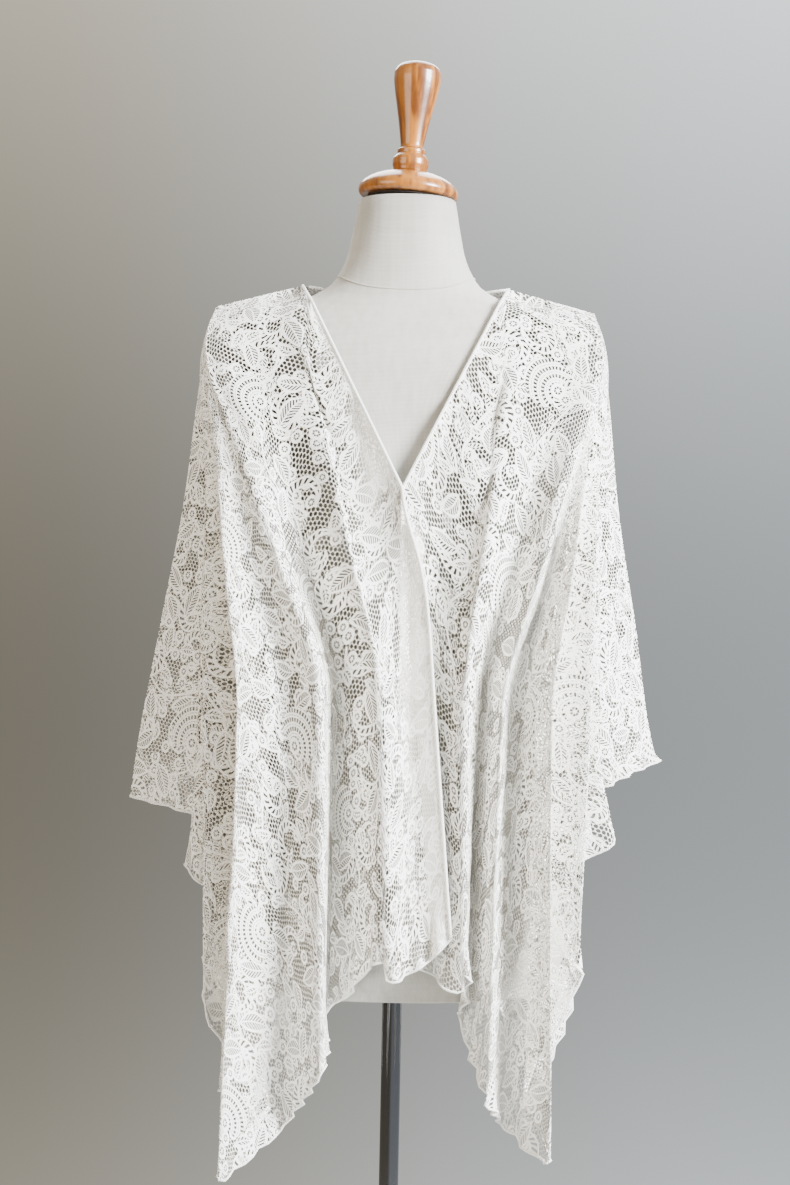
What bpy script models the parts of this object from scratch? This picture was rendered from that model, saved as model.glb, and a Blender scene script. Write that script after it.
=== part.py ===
"""A lace shawl, open in front and hooked at the breast, worn by a limbless dress form on a pole.

Metres, +Z up, the front towards -Y. Right and left are the wearer's, so the right half is at -X.
The origin is the middle of the base's underside.
"""

import collections
import math

import bmesh
import bpy
import numpy as np

# The lace, cut flat. "Across" runs out from the centre line, "down" runs from the shoulder line.
RIGHT_REACH = 0.700
LEFT_REACH = 0.655
LENGTH = 0.745
NECK_HALF = 0.105
V_DEPTH = 0.315
BACK_NECK_DEPTH = 0.040
CORNER_RADIUS = 0.060
HOLLOW = 0.030
HOLLOW_PLACE = 0.105
HOLLOW_SPREAD = 0.060
WALL = 0.0012
SEAM_GAP = 0.0003

# Where the lace lies: distances down from the shoulder line at which its folds are given.
YOKE = 0.070
BREAST = 0.200
RIBS = 0.320
WAIST = 0.450
SHOULDER_OUT = 0.193
SHOULDER_Z = 1.360
NECK_POINT_Z = 1.383
HOOK_Z = 1.171
BACK_NECK_Z = 1.372
FORM_CLEARANCE = 0.0065
BREAST_SHARE = np.array([0.42, 0.13])
RIBS_SHARE = np.array([0.48, 0.60])
MOST_LIFT = 0.004
STRANDS = 3
NECK_POINT_FOLD = 2
EASING_PASSES = 12
ROW_STEPS = (0.0, 0.08, 0.16, 0.25, 0.35, 0.46, 0.58, 0.71, 0.85, 1.0, 1.3, 1.65, 2.0)

# The bound edge and the closure.
BINDING_RADIUS = 0.0016
BINDING_STANDOFF = 1.15
HOOK_WIRE = 0.0005
HOOK_ROW = 4
HOOK_SET_IN = 0.0022

# The dress form and its stand.
FORM_SIDES = 40
FORM_ROUNDNESS = 2.3
NECK_TOP_Z = 1.469
FORM_BOTTOM_Z = 0.675
CAP_TILT = math.radians(3.6)
CAP_RISE = 0.0030
SPACER_THICKNESS = 0.0015
CAP_RADIUS = 0.051
POLE_RADIUS = 0.010
BASE_RADIUS = 0.175
BASE_HEIGHT = 0.014
COLLAR_RADIUS = 0.020
COLLAR_HEIGHT = 0.050
TOUCH_GAP = 0.0003
TURNED_STEPS = 40

# Plan sections of the form: half its width, and how far it goes forward and back of the shoulder line.
Section = collections.namedtuple("Section", "z half_width front back")
FORM_SECTIONS = (
    Section(FORM_BOTTOM_Z, 0.152, 0.096, 0.108),
    Section(0.688, 0.163, 0.105, 0.118),
    Section(0.780, 0.172, 0.110, 0.126),
    Section(0.860, 0.166, 0.106, 0.120),
    Section(0.940, 0.144, 0.098, 0.102),
    Section(1.010, 0.127, 0.090, 0.088),
    Section(1.080, 0.135, 0.096, 0.090),
    Section(1.160, 0.152, 0.104, 0.098),
    Section(1.240, 0.165, 0.097, 0.104),
    Section(1.300, 0.178, 0.082, 0.098),
    Section(1.328, 0.183, 0.069, 0.086),
    Section(1.348, 0.160, 0.058, 0.074),
    Section(1.364, 0.112, 0.050, 0.064),
    Section(1.380, 0.080, 0.049, 0.059),
    Section(1.396, 0.0675, 0.049, 0.056),
    Section(1.412, 0.0605, 0.0495, 0.0540),
    Section(1.432, 0.0560, 0.0490, 0.0520),
    Section(NECK_TOP_Z, 0.0495, 0.0470, 0.0470),
)
BREAST_SWELL = 0.018
BREAST_PLACE = (0.082, 1.165)
BREAST_SPREAD = (0.048, 0.055)

# Where smooth lace would stand at a level: how much of its place at the shoulder it keeps, how much further
# out it is under the middle of the wing, and how far from the shoulder plane it is at the centre.
Level = collections.namedtuple("Level", "kept wing_out depth")
YOKE_LEVEL = Level(1.0, 0.014, 0.056)
FRONT_BREAST_LEVEL = Level(0.97, 0.034, 0.103)
BACK_BREAST_LEVEL = Level(0.97, 0.034, 0.109)
WAIST_LEVEL = Level(0.78, 0.112, 0.150)
BREAST_ROUNDING = 0.9

# The folds of each quarter of the lace, a row for each ridge or valley, from the centre outwards.
# At the waist: how much lace lies between the centre and this fold, and where the fold stands, out from
# the centre line and away from the shoulder plane. At the outer edge of the lace: how far along the edge
# the fold ends, from the centre round the corner to the wing, and where it stands.
Fold = collections.namedtuple("Fold", "across out depth edge end_out end_depth")
RIGHT_FRONT = (
    Fold(0.000, -0.028, 0.154, 0.000, -0.053, 0.158),
    Fold(0.045, -0.003, 0.148, 0.050, -0.024, 0.152),
    Fold(0.105, 0.022, 0.166, 0.105, 0.014, 0.166),
    Fold(0.150, 0.058, 0.110, 0.250, 0.062, 0.088),
    Fold(0.235, 0.072, 0.168, 0.430, 0.064, 0.172),
    Fold(0.310, 0.108, 0.148, 0.570, 0.104, 0.128),
    Fold(0.400, 0.150, 0.172, 0.687, 0.160, 0.168),
    Fold(0.475, 0.124, 0.112, 0.770, 0.120, 0.098),
    Fold(0.545, 0.186, 0.124, 0.925, 0.180, 0.128),
    Fold(0.615, 0.136, 0.080, 1.050, 0.148, 0.078),
    Fold(0.685, 0.196, 0.082, 1.152, 0.202, 0.084),
    Fold(0.750, 0.152, 0.044, 1.240, 0.172, 0.042),
    Fold(0.820, 0.206, 0.042, 1.325, 0.208, 0.040),
    Fold(0.900, 0.264, 0.001, 1.420, 0.271, 0.001),
)
LEFT_FRONT = (
    Fold(0.000, 0.000, 0.136, 0.000, 0.004, 0.138),
    Fold(0.045, 0.028, 0.128, 0.050, 0.030, 0.130),
    Fold(0.105, 0.064, 0.160, 0.120, 0.068, 0.162),
    Fold(0.155, 0.080, 0.108, 0.260, 0.066, 0.086),
    Fold(0.215, 0.098, 0.150, 0.440, 0.090, 0.164),
    Fold(0.285, 0.112, 0.120, 0.540, 0.110, 0.112),
    Fold(0.380, 0.144, 0.168, 0.642, 0.150, 0.170),
    Fold(0.475, 0.132, 0.104, 0.712, 0.130, 0.096),
    Fold(0.545, 0.184, 0.126, 0.887, 0.176, 0.130),
    Fold(0.610, 0.138, 0.078, 1.008, 0.148, 0.076),
    Fold(0.680, 0.198, 0.084, 1.100, 0.216, 0.074),
    Fold(0.745, 0.152, 0.042, 1.187, 0.172, 0.040),
    Fold(0.812, 0.210, 0.044, 1.265, 0.214, 0.042),
    Fold(0.900, 0.262, 0.001, 1.375, 0.269, 0.001),
)
RIGHT_BACK = (
    Fold(0.000, 0.000, 0.148, 0.000, 0.000, 0.156),
    Fold(0.060, 0.034, 0.124, 0.065, 0.036, 0.122),
    Fold(0.125, 0.064, 0.168, 0.140, 0.068, 0.176),
    Fold(0.185, 0.090, 0.120, 0.240, 0.094, 0.106),
    Fold(0.250, 0.116, 0.178, 0.400, 0.112, 0.190),
    Fold(0.330, 0.132, 0.124, 0.560, 0.130, 0.124),
    Fold(0.415, 0.174, 0.156, 0.687, 0.188, 0.154),
    Fold(0.505, 0.138, 0.090, 0.770, 0.152, 0.084),
    Fold(0.575, 0.196, 0.104, 0.930, 0.202, 0.108),
    Fold(0.645, 0.144, 0.062, 1.050, 0.164, 0.062),
    Fold(0.720, 0.206, 0.062, 1.160, 0.208, 0.064),
    Fold(0.790, 0.158, 0.032, 1.250, 0.178, 0.030),
    Fold(0.900, 0.264, 0.001, 1.420, 0.271, 0.001),
)
LEFT_BACK = (
    Fold(0.000, 0.000, 0.148, 0.000, 0.000, 0.156),
    Fold(0.055, 0.032, 0.166, 0.060, 0.034, 0.172),
    Fold(0.125, 0.058, 0.120, 0.135, 0.062, 0.110),
    Fold(0.185, 0.096, 0.174, 0.250, 0.100, 0.188),
    Fold(0.255, 0.112, 0.120, 0.400, 0.114, 0.106),
    Fold(0.335, 0.152, 0.168, 0.540, 0.152, 0.182),
    Fold(0.420, 0.138, 0.102, 0.642, 0.154, 0.096),
    Fold(0.510, 0.192, 0.116, 0.800, 0.198, 0.118),
    Fold(0.580, 0.138, 0.070, 0.940, 0.160, 0.070),
    Fold(0.650, 0.202, 0.076, 1.060, 0.206, 0.080),
    Fold(0.720, 0.150, 0.038, 1.140, 0.175, 0.036),
    Fold(0.790, 0.204, 0.040, 1.230, 0.212, 0.040),
    Fold(0.900, 0.262, 0.001, 1.375, 0.269, 0.001),
)


def make_material(name, colour, roughness, metallic=0.0):
    material = bpy.data.materials.new(name)
    material.use_nodes = True
    shader = material.node_tree.nodes["Principled BSDF"]
    shader.inputs["Base Color"].default_value = (*colour, 1.0)
    shader.inputs["Roughness"].default_value = roughness
    shader.inputs["Metallic"].default_value = metallic
    return material


def add_object(name, data, material, smooth=True):
    obj = bpy.data.objects.new(name, data)
    data.materials.append(material)
    part_collection.objects.link(obj)
    if smooth and isinstance(data, bpy.types.Mesh):
        data.shade_smooth()
    return obj


def smooth_through(places, values, wanted):
    """A smooth curve through the values, with slopes from the neighbours on each side."""
    places = np.asarray(places, float)
    values = np.asarray(values, float)
    slopes = np.gradient(values, places, axis=0)
    spot = np.clip(np.searchsorted(places, wanted, side="right") - 1, 0, len(places) - 2)
    span = places[spot + 1] - places[spot]
    t = (np.asarray(wanted, float) - places[spot]) / span
    if values.ndim > 1:
        t = t[..., None]
        span = span[..., None]
    start_share = 2 * t**3 - 3 * t**2 + 1
    start_slope = t**3 - 2 * t**2 + t
    end_slope = t**3 - t**2
    return (
        start_share * values[spot]
        + (1 - start_share) * values[spot + 1]
        + span * (start_slope * slopes[spot] + end_slope * slopes[spot + 1])
    )


def steady_through(places, values, wanted):
    """A smooth curve through the values that never swings past them."""
    places = np.asarray(places, float)
    values = np.asarray(values, float)
    gaps = np.diff(places)[:, None]
    rises = np.diff(values, axis=0) / gaps
    same_way = rises[:-1] * rises[1:] > 0
    inner = np.where(same_way, 2 * rises[:-1] * rises[1:] / np.where(same_way, rises[:-1] + rises[1:], 1), 0)
    slopes = np.vstack([rises[:1], inner, rises[-1:]])
    spot = np.clip(np.searchsorted(places, wanted, side="right") - 1, 0, len(places) - 2)
    span = gaps[spot]
    t = ((np.asarray(wanted, float) - places[spot]) / span[:, 0])[:, None]
    start_share = 2 * t**3 - 3 * t**2 + 1
    return (
        start_share * values[spot]
        + (1 - start_share) * values[spot + 1]
        + span * ((t**3 - 2 * t**2 + t) * slopes[spot] + (t**3 - t**2) * slopes[spot + 1])
    )


# --- the dress form ---------------------------------------------------------------------------------

SECTION_TABLE = np.array(FORM_SECTIONS)


def form_section(z):
    """Half the form's width and its reach forward and back at these heights."""
    heights = np.clip(np.atleast_1d(z), FORM_BOTTOM_Z, NECK_TOP_Z)
    return smooth_through(SECTION_TABLE[:, 0], SECTION_TABLE[:, 1:], heights).T


def breast_swell(out, z):
    across = (np.abs(out) - BREAST_PLACE[0]) / BREAST_SPREAD[0]
    up = (np.asarray(z) - BREAST_PLACE[1]) / BREAST_SPREAD[1]
    return BREAST_SWELL * np.exp(-(across**2) - up**2)


def form_depth(out, z, in_front):
    """How far the form, with its clearance, stands from the shoulder plane at these places."""
    half_width, front, back = form_section(z)
    depth = (front + breast_swell(out, z) if in_front else back) + FORM_CLEARANCE
    share = np.clip(np.abs(out) / (half_width + FORM_CLEARANCE), 0, 1) ** FORM_ROUNDNESS
    return depth * (1 - share) ** (1 / FORM_ROUNDNESS)


def form_point(angle, z):
    half_width, front, back = form_section(z)[:, 0]
    cosine = math.cos(angle)
    sine = math.sin(angle)
    power = 2 / FORM_ROUNDNESS
    x = half_width * math.copysign(abs(cosine) ** power, cosine)
    if sine > 0:
        return x, back * sine**power, z
    swell = breast_swell(x, z) * min(1.0, -2 * sine)
    return x, -front * abs(sine) ** power - swell, z


def make_form(material):
    heights = np.concatenate(
        [[FORM_BOTTOM_Z], np.linspace(0.688, 1.30, 15), np.linspace(1.318, 1.405, 7), [1.418, 1.440, NECK_TOP_Z]]
    )
    mesh = bmesh.new()
    rings = []
    for z in heights:
        angles = np.arange(FORM_SIDES) * 2 * math.pi / FORM_SIDES
        rings.append([mesh.verts.new(form_point(angle, z)) for angle in angles])
    for lower, upper in zip(rings, rings[1:]):
        for here in range(FORM_SIDES):
            there = (here + 1) % FORM_SIDES
            mesh.faces.new((lower[here], lower[there], upper[there], upper[here]))
    mesh.faces.new(rings[0][::-1])
    mesh.faces.new(rings[-1])
    data = bpy.data.meshes.new("dress_form")
    mesh.to_mesh(data)
    mesh.free()
    return add_object("dress_form", data, material)


# --- the lace ---------------------------------------------------------------------------------------


def edge_place(along, reach):
    """Across and down, flat, of a point this far along the outer edge from the centre."""
    hem = reach - CORNER_RADIUS
    bend = CORNER_RADIUS * math.pi / 2
    if along <= hem:
        return along, LENGTH - HOLLOW * math.exp(-(((along - HOLLOW_PLACE) / HOLLOW_SPREAD) ** 2))
    if along <= hem + bend:
        turn = (along - hem) / CORNER_RADIUS
        return hem + CORNER_RADIUS * math.sin(turn), LENGTH - CORNER_RADIUS * (1 - math.cos(turn))
    return reach, max(0.0, LENGTH - CORNER_RADIUS - (along - hem - bend))


def waist_place(across):
    """Across and down, flat, of the lace lying at the waist's distance from the shoulder line."""
    if across <= SHOULDER_OUT:
        return across, WAIST
    turn = turn_of(across)
    return SHOULDER_OUT + WAIST * math.sin(turn), WAIST * math.cos(turn)


def neck_start(across, neck_depth):
    """How far below the shoulder line the lace starts, this far out from the centre."""
    if across >= NECK_HALF:
        return 0.0
    return neck_depth * (1 - across / NECK_HALF)


def turn_of(across):
    """The angle, about the shoulder's end, of the strand lying this far out at the waist."""
    return min(max(0.0, across - SHOULDER_OUT) / WAIST, math.pi / 2)


def smooth_place(level, across, rounding=1.0):
    """Where smooth lace stands at a level: out, and away from the shoulder plane."""
    turn = turn_of(across)
    out = level.kept * min(across, SHOULDER_OUT) + level.wing_out * math.sin(turn)
    return np.array([out, level.depth * math.cos(turn) ** rounding])


def fold_course(fold, in_front):
    """Where one fold stands in plan at each station: out, and away from the shoulder plane."""
    start_out = min(fold.across, SHOULDER_OUT)
    waist = np.array([fold.out, fold.depth])
    yoke = smooth_place(YOKE_LEVEL, fold.across)
    breast_level = FRONT_BREAST_LEVEL if in_front else BACK_BREAST_LEVEL
    breast = smooth_place(breast_level, fold.across, BREAST_ROUNDING)
    breast += BREAST_SHARE * (waist - smooth_place(WAIST_LEVEL, fold.across))
    ribs = breast + RIBS_SHARE * (waist - breast)
    return np.array([[start_out, 0.0], yoke, breast, ribs, waist, [fold.end_out, fold.end_depth]])


def drape_quarter(folds, reach, side, in_front, strands=STRANDS, row_steps=ROW_STEPS):
    """Points of one quarter of the lace, [row][strand], and the same points on the flat lace."""
    neck_depth = V_DEPTH if in_front else BACK_NECK_DEPTH
    row_steps = np.asarray(row_steps)
    flats = []
    plans = []
    for fold in folds:
        start = (min(fold.across, SHOULDER_OUT), neck_start(fold.across, neck_depth))
        corners = np.array([start, waist_place(fold.across), edge_place(fold.edge, reach)])
        lengths = np.linalg.norm(np.diff(corners, axis=0), axis=1)
        flat = np.column_stack([np.interp(row_steps, (0, 1, 2), corners[:, axis]) for axis in (0, 1)])
        down = start[1] + np.interp(row_steps, (0, 1, 2), (0, lengths[0], lengths.sum()))
        stations = (0.0, YOKE, BREAST, RIBS, start[1] + lengths[0], start[1] + lengths.sum())
        plans.append(steady_through(stations, fold_course(fold, in_front), down))
        flats.append(flat)
    flats = np.array(flats)
    plans = np.array(plans)
    places = np.arange(len(folds))
    wanted = np.linspace(0, len(folds) - 1, (len(folds) - 1) * strands + 1)
    flat = np.stack(
        [
            [np.interp(wanted, places, flats[:, row, axis]) for axis in (0, 1)]
            for row in range(len(row_steps))
        ]
    ).transpose(0, 2, 1)
    plan = np.stack([smooth_through(places, plans[:, row], wanted) for row in range(len(row_steps))])
    points = hang(plan, flat, in_front)
    points[..., 0] *= side
    return points, flat


def hang(plan, flat, in_front):
    """Points whose heights keep each strand at its flat length, lying on the form or hanging clear of it."""
    out = plan[..., 0].copy()
    depth = plan[..., 1].copy()
    height = np.zeros_like(out)
    out[0], depth[0], height[0] = first_row(flat[0], depth[0], in_front)
    shift = out[0] - plan[0, :, 0]
    travelled = np.zeros(out.shape[1])
    for row in range(1, len(out)):
        step = np.linalg.norm(flat[row] - flat[row - 1], axis=1)
        travelled += step
        out[row] += shift * np.exp(-((travelled / YOKE) ** 2))
        shortest = 0.05 * step
        longest = step.copy()
        for _ in range(24):
            drop = (shortest + longest) / 2
            z = height[row - 1] - drop
            y = np.maximum(depth[row], form_depth(out[row], z, in_front))
            run = np.sqrt((out[row] - out[row - 1]) ** 2 + (y - depth[row - 1]) ** 2 + drop**2)
            longest = np.where(run > step, drop, longest)
            shortest = np.where(run > step, shortest, drop)
        height[row] = z
        depth[row] = y
    on_seam = flat[..., 1] < 1e-6
    points = np.stack([out, depth, height], axis=-1)
    ease_off_form(points, on_seam, in_front)
    points[..., 1] = np.where(on_seam, SEAM_GAP / 2 + WALL / 2, np.maximum(points[..., 1], WALL))
    if in_front:
        points[..., 1] *= -1
    return points


def inside_form(points, in_front):
    """Below nought for a point inside the form's clearance, and above it outside."""
    half_width, front, back = form_section(points[:, 2])
    depth = front + breast_swell(points[:, 0], points[:, 2]) if in_front else back
    share = (np.abs(points[:, 0]) / (half_width + FORM_CLEARANCE)) ** FORM_ROUNDNESS
    share += (np.abs(points[:, 1]) / (depth + FORM_CLEARANCE)) ** FORM_ROUNDNESS
    return share - 1


def ease_off_form(points, on_seam, in_front):
    """Lifts the lace wherever the middle of a stretch between points would cut into the form."""
    nudge = 0.001
    rows, strands = points.shape[:2]
    for _ in range(EASING_PASSES):
        for down, sideways in ((0, 1), (1, 0), (1, 1), (1, -1)):
            here = (slice(0, rows - down), slice(max(0, -sideways), strands - max(0, sideways)))
            there = (slice(down, rows), slice(max(0, sideways), strands + min(0, sideways)))
            middle = ((points[here] + points[there]) / 2).reshape(-1, 3)
            level = inside_form(middle, in_front)
            slope = np.stack(
                [(inside_form(middle + nudge * axis, in_front) - level) / nudge for axis in np.eye(3)], axis=1
            )
            steepness = np.maximum(np.linalg.norm(slope, axis=1), 1e-6)
            lift = np.clip(-level / steepness, 0, MOST_LIFT)
            move = (slope / steepness[:, None] * lift[:, None]).reshape(points[here].shape)
            points[here] += move
            points[there] += move
        points[on_seam, 1] = 0


def first_row(flat_row, hanging_depth, in_front):
    """Where the neck edge and the shoulder seam stand: out, depth and height of each strand's start."""
    out = flat_row[:, 0].copy()
    along_neck = np.clip(1 - out / NECK_HALF, 0, 1)
    lowest = HOOK_Z if in_front else BACK_NECK_Z
    slope = np.clip((out - NECK_HALF) / (SHOULDER_OUT - NECK_HALF), 0, 1)
    height = NECK_POINT_Z + (lowest - NECK_POINT_Z) * along_neck + (SHOULDER_Z - NECK_POINT_Z) * slope
    on_form = form_depth(out, height, in_front)
    depth = np.where(along_neck > 0, np.maximum(on_form, hanging_depth), 0)
    return out, depth, height


def make_cloth(name, grid, material):
    """A wall of lace on a grid of points."""
    rows, strands = grid.shape[:2]
    mesh = bmesh.new()
    corners = [[mesh.verts.new(point) for point in row] for row in grid]
    for upper, lower in zip(corners, corners[1:]):
        for here in range(strands - 1):
            mesh.faces.new((upper[here], lower[here], lower[here + 1], upper[here + 1]))
    bmesh.ops.remove_doubles(mesh, verts=mesh.verts, dist=0.00002)
    bmesh.ops.recalc_face_normals(mesh, faces=mesh.faces)
    data = bpy.data.meshes.new(name)
    mesh.to_mesh(data)
    mesh.free()
    obj = add_object(name, data, material)
    thickness = obj.modifiers.new("wall", "SOLIDIFY")
    thickness.thickness = WALL
    thickness.offset = 0.0
    return obj


def beside_edge(edge, inside):
    """A line just off a raw edge of the lace, on the side away from the lace, stopping short at its ends."""
    along = np.gradient(edge, axis=0)
    along /= np.linalg.norm(along, axis=1)[:, None]
    away = edge - inside
    away -= (away * along).sum(axis=1)[:, None] * along
    away /= np.linalg.norm(away, axis=1)[:, None]
    line = edge + away * (BINDING_RADIUS + SEAM_GAP) * BINDING_STANDOFF
    for end, neighbour in ((0, 1), (-1, -2)):
        back_along = line[neighbour] - line[end]
        line[end] += back_along / np.linalg.norm(back_along) * 2 * BINDING_RADIUS
    return line


def front_binding_line(grid):
    """The middle of the bound edge of one front, from the neck point down to the hem."""
    last = NECK_POINT_FOLD * STRANDS
    edge = np.concatenate([grid[0, last:0:-1], grid[:, 0]])
    inside = np.concatenate([grid[1, last:0:-1], grid[1:2, 1], grid[1:, 1]])
    return beside_edge(edge, inside)


def back_binding_line(grid):
    """The middle of the bound edge of the back neck, from one neck point to the other."""
    strands = np.nonzero(np.abs(grid[0, :, 0]) <= NECK_HALF + 1e-6)[0]
    return beside_edge(grid[0, strands], grid[1, strands])


def make_wire(name, points, radius, material, resolution=1):
    """A round wire or cord along the points, closed at both ends."""
    curve = bpy.data.curves.new(name, "CURVE")
    curve.dimensions = "3D"
    curve.bevel_depth = radius
    curve.bevel_resolution = resolution
    curve.use_fill_caps = True
    spline = curve.splines.new("POLY")
    spline.points.add(len(points) - 1)
    for spot, point in zip(spline.points, points):
        spot.co = (*point, 1.0)
    return add_object(name, curve, material)


def make_hook_and_eye(right, left, material):
    """A bent wire hook behind the right front's edge, caught round the bar of the left front's eye."""
    y = left[HOOK_ROW, 0, 1] - HOOK_SET_IN
    z = right[HOOK_ROW, 0, 2]
    clear = 2 * HOOK_WIRE + TOUCH_GAP
    bar = 0.004
    hook = [
        (bar - 0.005, y - clear - 0.0009, z),
        (bar, y - clear, z),
        (bar + clear * 0.8, y - clear * 0.6, z),
        (bar + clear, y, z),
        (bar + clear * 0.8, y + clear * 0.6, z),
        (bar, y + clear, z),
        (bar - 0.003, y + clear, z),
    ]
    make_wire("hook", hook, HOOK_WIRE, material)
    half = 0.003
    eye = [
        (bar + 0.010, y + 0.0045, z + half),
        (bar + 0.001, y, z + half),
        (bar, y, z + half * 0.7),
        (bar, y, z - half * 0.7),
        (bar + 0.001, y, z - half),
        (bar + 0.010, y + 0.0045, z - half),
    ]
    make_wire("eye", eye, HOOK_WIRE, material)


# --- the turned cap, the finial and the stand ---------------------------------------------------------


def make_turned(name, profile, material, parent=None):
    """A solid turned about its own Z axis from a profile of radius and height, down its outer side."""
    mesh = bmesh.new()
    corners = [mesh.verts.new((radius, 0, z)) for radius, z in profile]
    for upper, lower in zip(corners, corners[1:]):
        mesh.edges.new((upper, lower))
    data = bpy.data.meshes.new(name)
    mesh.to_mesh(data)
    mesh.free()
    obj = add_object(name, data, material)
    turn = obj.modifiers.new("turn", "SCREW")
    turn.steps = TURNED_STEPS
    turn.render_steps = TURNED_STEPS
    turn.use_merge_vertices = True
    turn.merge_threshold = 0.0001
    turn.use_smooth_shade = True
    obj.parent = parent
    return obj


def make_neck_cap(wood, shadow):
    """The wooden disc, bead and flared finial, leaning a little on the neck."""
    lean = bpy.data.objects.new("cap_lean", None)
    part_collection.objects.link(lean)
    lean.location = (0.0, 0.0, NECK_TOP_Z)
    lean.rotation_euler = (0.0, CAP_TILT, 0.0)
    spacer_radius = 0.041
    spacer_top = CAP_RISE + SPACER_THICKNESS
    make_turned(
        "cap_spacer",
        ((0, spacer_top), (spacer_radius, spacer_top), (spacer_radius, CAP_RISE), (0, CAP_RISE)),
        shadow,
        lean,
    )
    z = spacer_top + TOUCH_GAP
    disc = (
        (0.0, z + 0.0260),
        (0.018, z + 0.0255),
        (0.030, z + 0.0230),
        (0.040, z + 0.0190),
        (0.0475, z + 0.0135),
        (0.0505, z + 0.0090),
        (CAP_RADIUS, z + 0.0060),
        (0.0500, z + 0.0025),
        (0.0470, z),
        (0.0, z),
    )
    make_turned("cap_disc", disc, wood, lean)
    z += disc[0][1] - disc[-1][1] + TOUCH_GAP
    bead = (
        (0.0, z + 0.0240),
        (0.0125, z + 0.0240),
        (0.0145, z + 0.0225),
        (0.0145, z + 0.0202),
        (0.0140, z + 0.0186),
        (0.0165, z + 0.0162),
        (0.0185, z + 0.0120),
        (0.0185, z + 0.0080),
        (0.0172, z + 0.0035),
        (0.0160, z),
        (0.0, z),
    )
    make_turned("cap_bead", bead, wood, lean)
    z += bead[0][1] - bead[-1][1] + TOUCH_GAP
    finial = (
        (0.0, z + 0.0875),
        (0.0110, z + 0.0871),
        (0.0185, z + 0.0848),
        (0.0222, z + 0.0812),
        (0.0240, z + 0.0765),
        (0.0240, z + 0.0715),
        (0.0226, z + 0.0610),
        (0.0190, z + 0.0430),
        (0.0150, z + 0.0230),
        (0.0122, z + 0.0060),
        (0.0118, z + 0.0030),
        (0.0124, z),
        (0.0, z),
    )
    make_turned("finial", finial, wood, lean)


def make_stand(chrome, iron):
    """The chrome pole, the collar that holds it and the round base it stands on."""
    top = FORM_BOTTOM_Z - TOUCH_GAP
    foot = BASE_HEIGHT + TOUCH_GAP
    make_turned("pole", ((0, top), (POLE_RADIUS, top), (POLE_RADIUS, foot), (0, foot)), chrome)
    bore = POLE_RADIUS + TOUCH_GAP
    collar_top = foot + COLLAR_HEIGHT
    rim = 0.002
    collar = (
        (bore, collar_top),
        (COLLAR_RADIUS - rim, collar_top),
        (COLLAR_RADIUS, collar_top - rim),
        (COLLAR_RADIUS, foot + 0.010),
        (COLLAR_RADIUS + 0.010, foot + 0.003),
        (COLLAR_RADIUS + 0.010, foot),
        (bore, foot),
        (bore, collar_top),
    )
    make_turned("base_collar", collar, chrome)
    base = (
        (0.0, BASE_HEIGHT),
        (0.060, BASE_HEIGHT),
        (BASE_RADIUS - 0.012, BASE_HEIGHT - 0.003),
        (BASE_RADIUS - 0.003, BASE_HEIGHT - 0.006),
        (BASE_RADIUS, BASE_HEIGHT - 0.010),
        (BASE_RADIUS, 0.002),
        (BASE_RADIUS - 0.002, 0.0),
        (0.0, 0.0),
    )
    make_turned("base", base, iron)


# --- putting it together ----------------------------------------------------------------------------

for old in list(bpy.data.objects):
    bpy.data.objects.remove(old)
part_collection = bpy.data.collections.new("lace_shawl_on_dress_form")
bpy.context.scene.collection.children.link(part_collection)

LACE = make_material("ivory_lace", (0.86, 0.83, 0.77), 0.75)
BINDING = make_material("ivory_binding", (0.90, 0.88, 0.83), 0.6)
LINEN = make_material("linen", (0.80, 0.76, 0.68), 0.9)
WOOD = make_material("varnished_wood", (0.50, 0.22, 0.07), 0.25)
SHADOW = make_material("dark_wood", (0.10, 0.06, 0.04), 0.6)
CHROME = make_material("chrome", (0.75, 0.75, 0.78), 0.08, 1.0)
BASE_METAL = make_material("painted_steel", (0.60, 0.60, 0.62), 0.35, 1.0)
WIRE = make_material("hook_wire", (0.78, 0.76, 0.72), 0.3, 1.0)

make_form(LINEN)
make_neck_cap(WOOD, SHADOW)
make_stand(CHROME, BASE_METAL)

right_front, _ = drape_quarter(RIGHT_FRONT, RIGHT_REACH, -1, True)
left_front, _ = drape_quarter(LEFT_FRONT, LEFT_REACH, 1, True)
right_back, _ = drape_quarter(RIGHT_BACK, RIGHT_REACH, -1, False)
left_back, _ = drape_quarter(LEFT_BACK, LEFT_REACH, 1, False)
back = np.concatenate([right_back[:, ::-1], left_back[:, 1:]], axis=1)
make_cloth("right_front", right_front, LACE)
make_cloth("left_front", left_front, LACE)
make_cloth("back", back, LACE)
make_wire("right_front_binding", front_binding_line(right_front), BINDING_RADIUS, BINDING)
make_wire("left_front_binding", front_binding_line(left_front), BINDING_RADIUS, BINDING)
make_wire("back_neck_binding", back_binding_line(back), BINDING_RADIUS, BINDING)
make_hook_and_eye(right_front, left_front, WIRE)
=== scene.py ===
"""The finished look of a lace shawl worn by a limbless dress form, on the frame that holds its solids.

Metres, +Z up, the front towards -Y. Right and left are the wearer's, so the right half is at -X.
The lace is one thin sheet to each quarter, with its flat cut kept as a UV map in metres, so that the
pattern lies on the cloth as it was made.
"""

import collections
import math

import bmesh
import bpy
import numpy as np
from mathutils import Matrix


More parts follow.
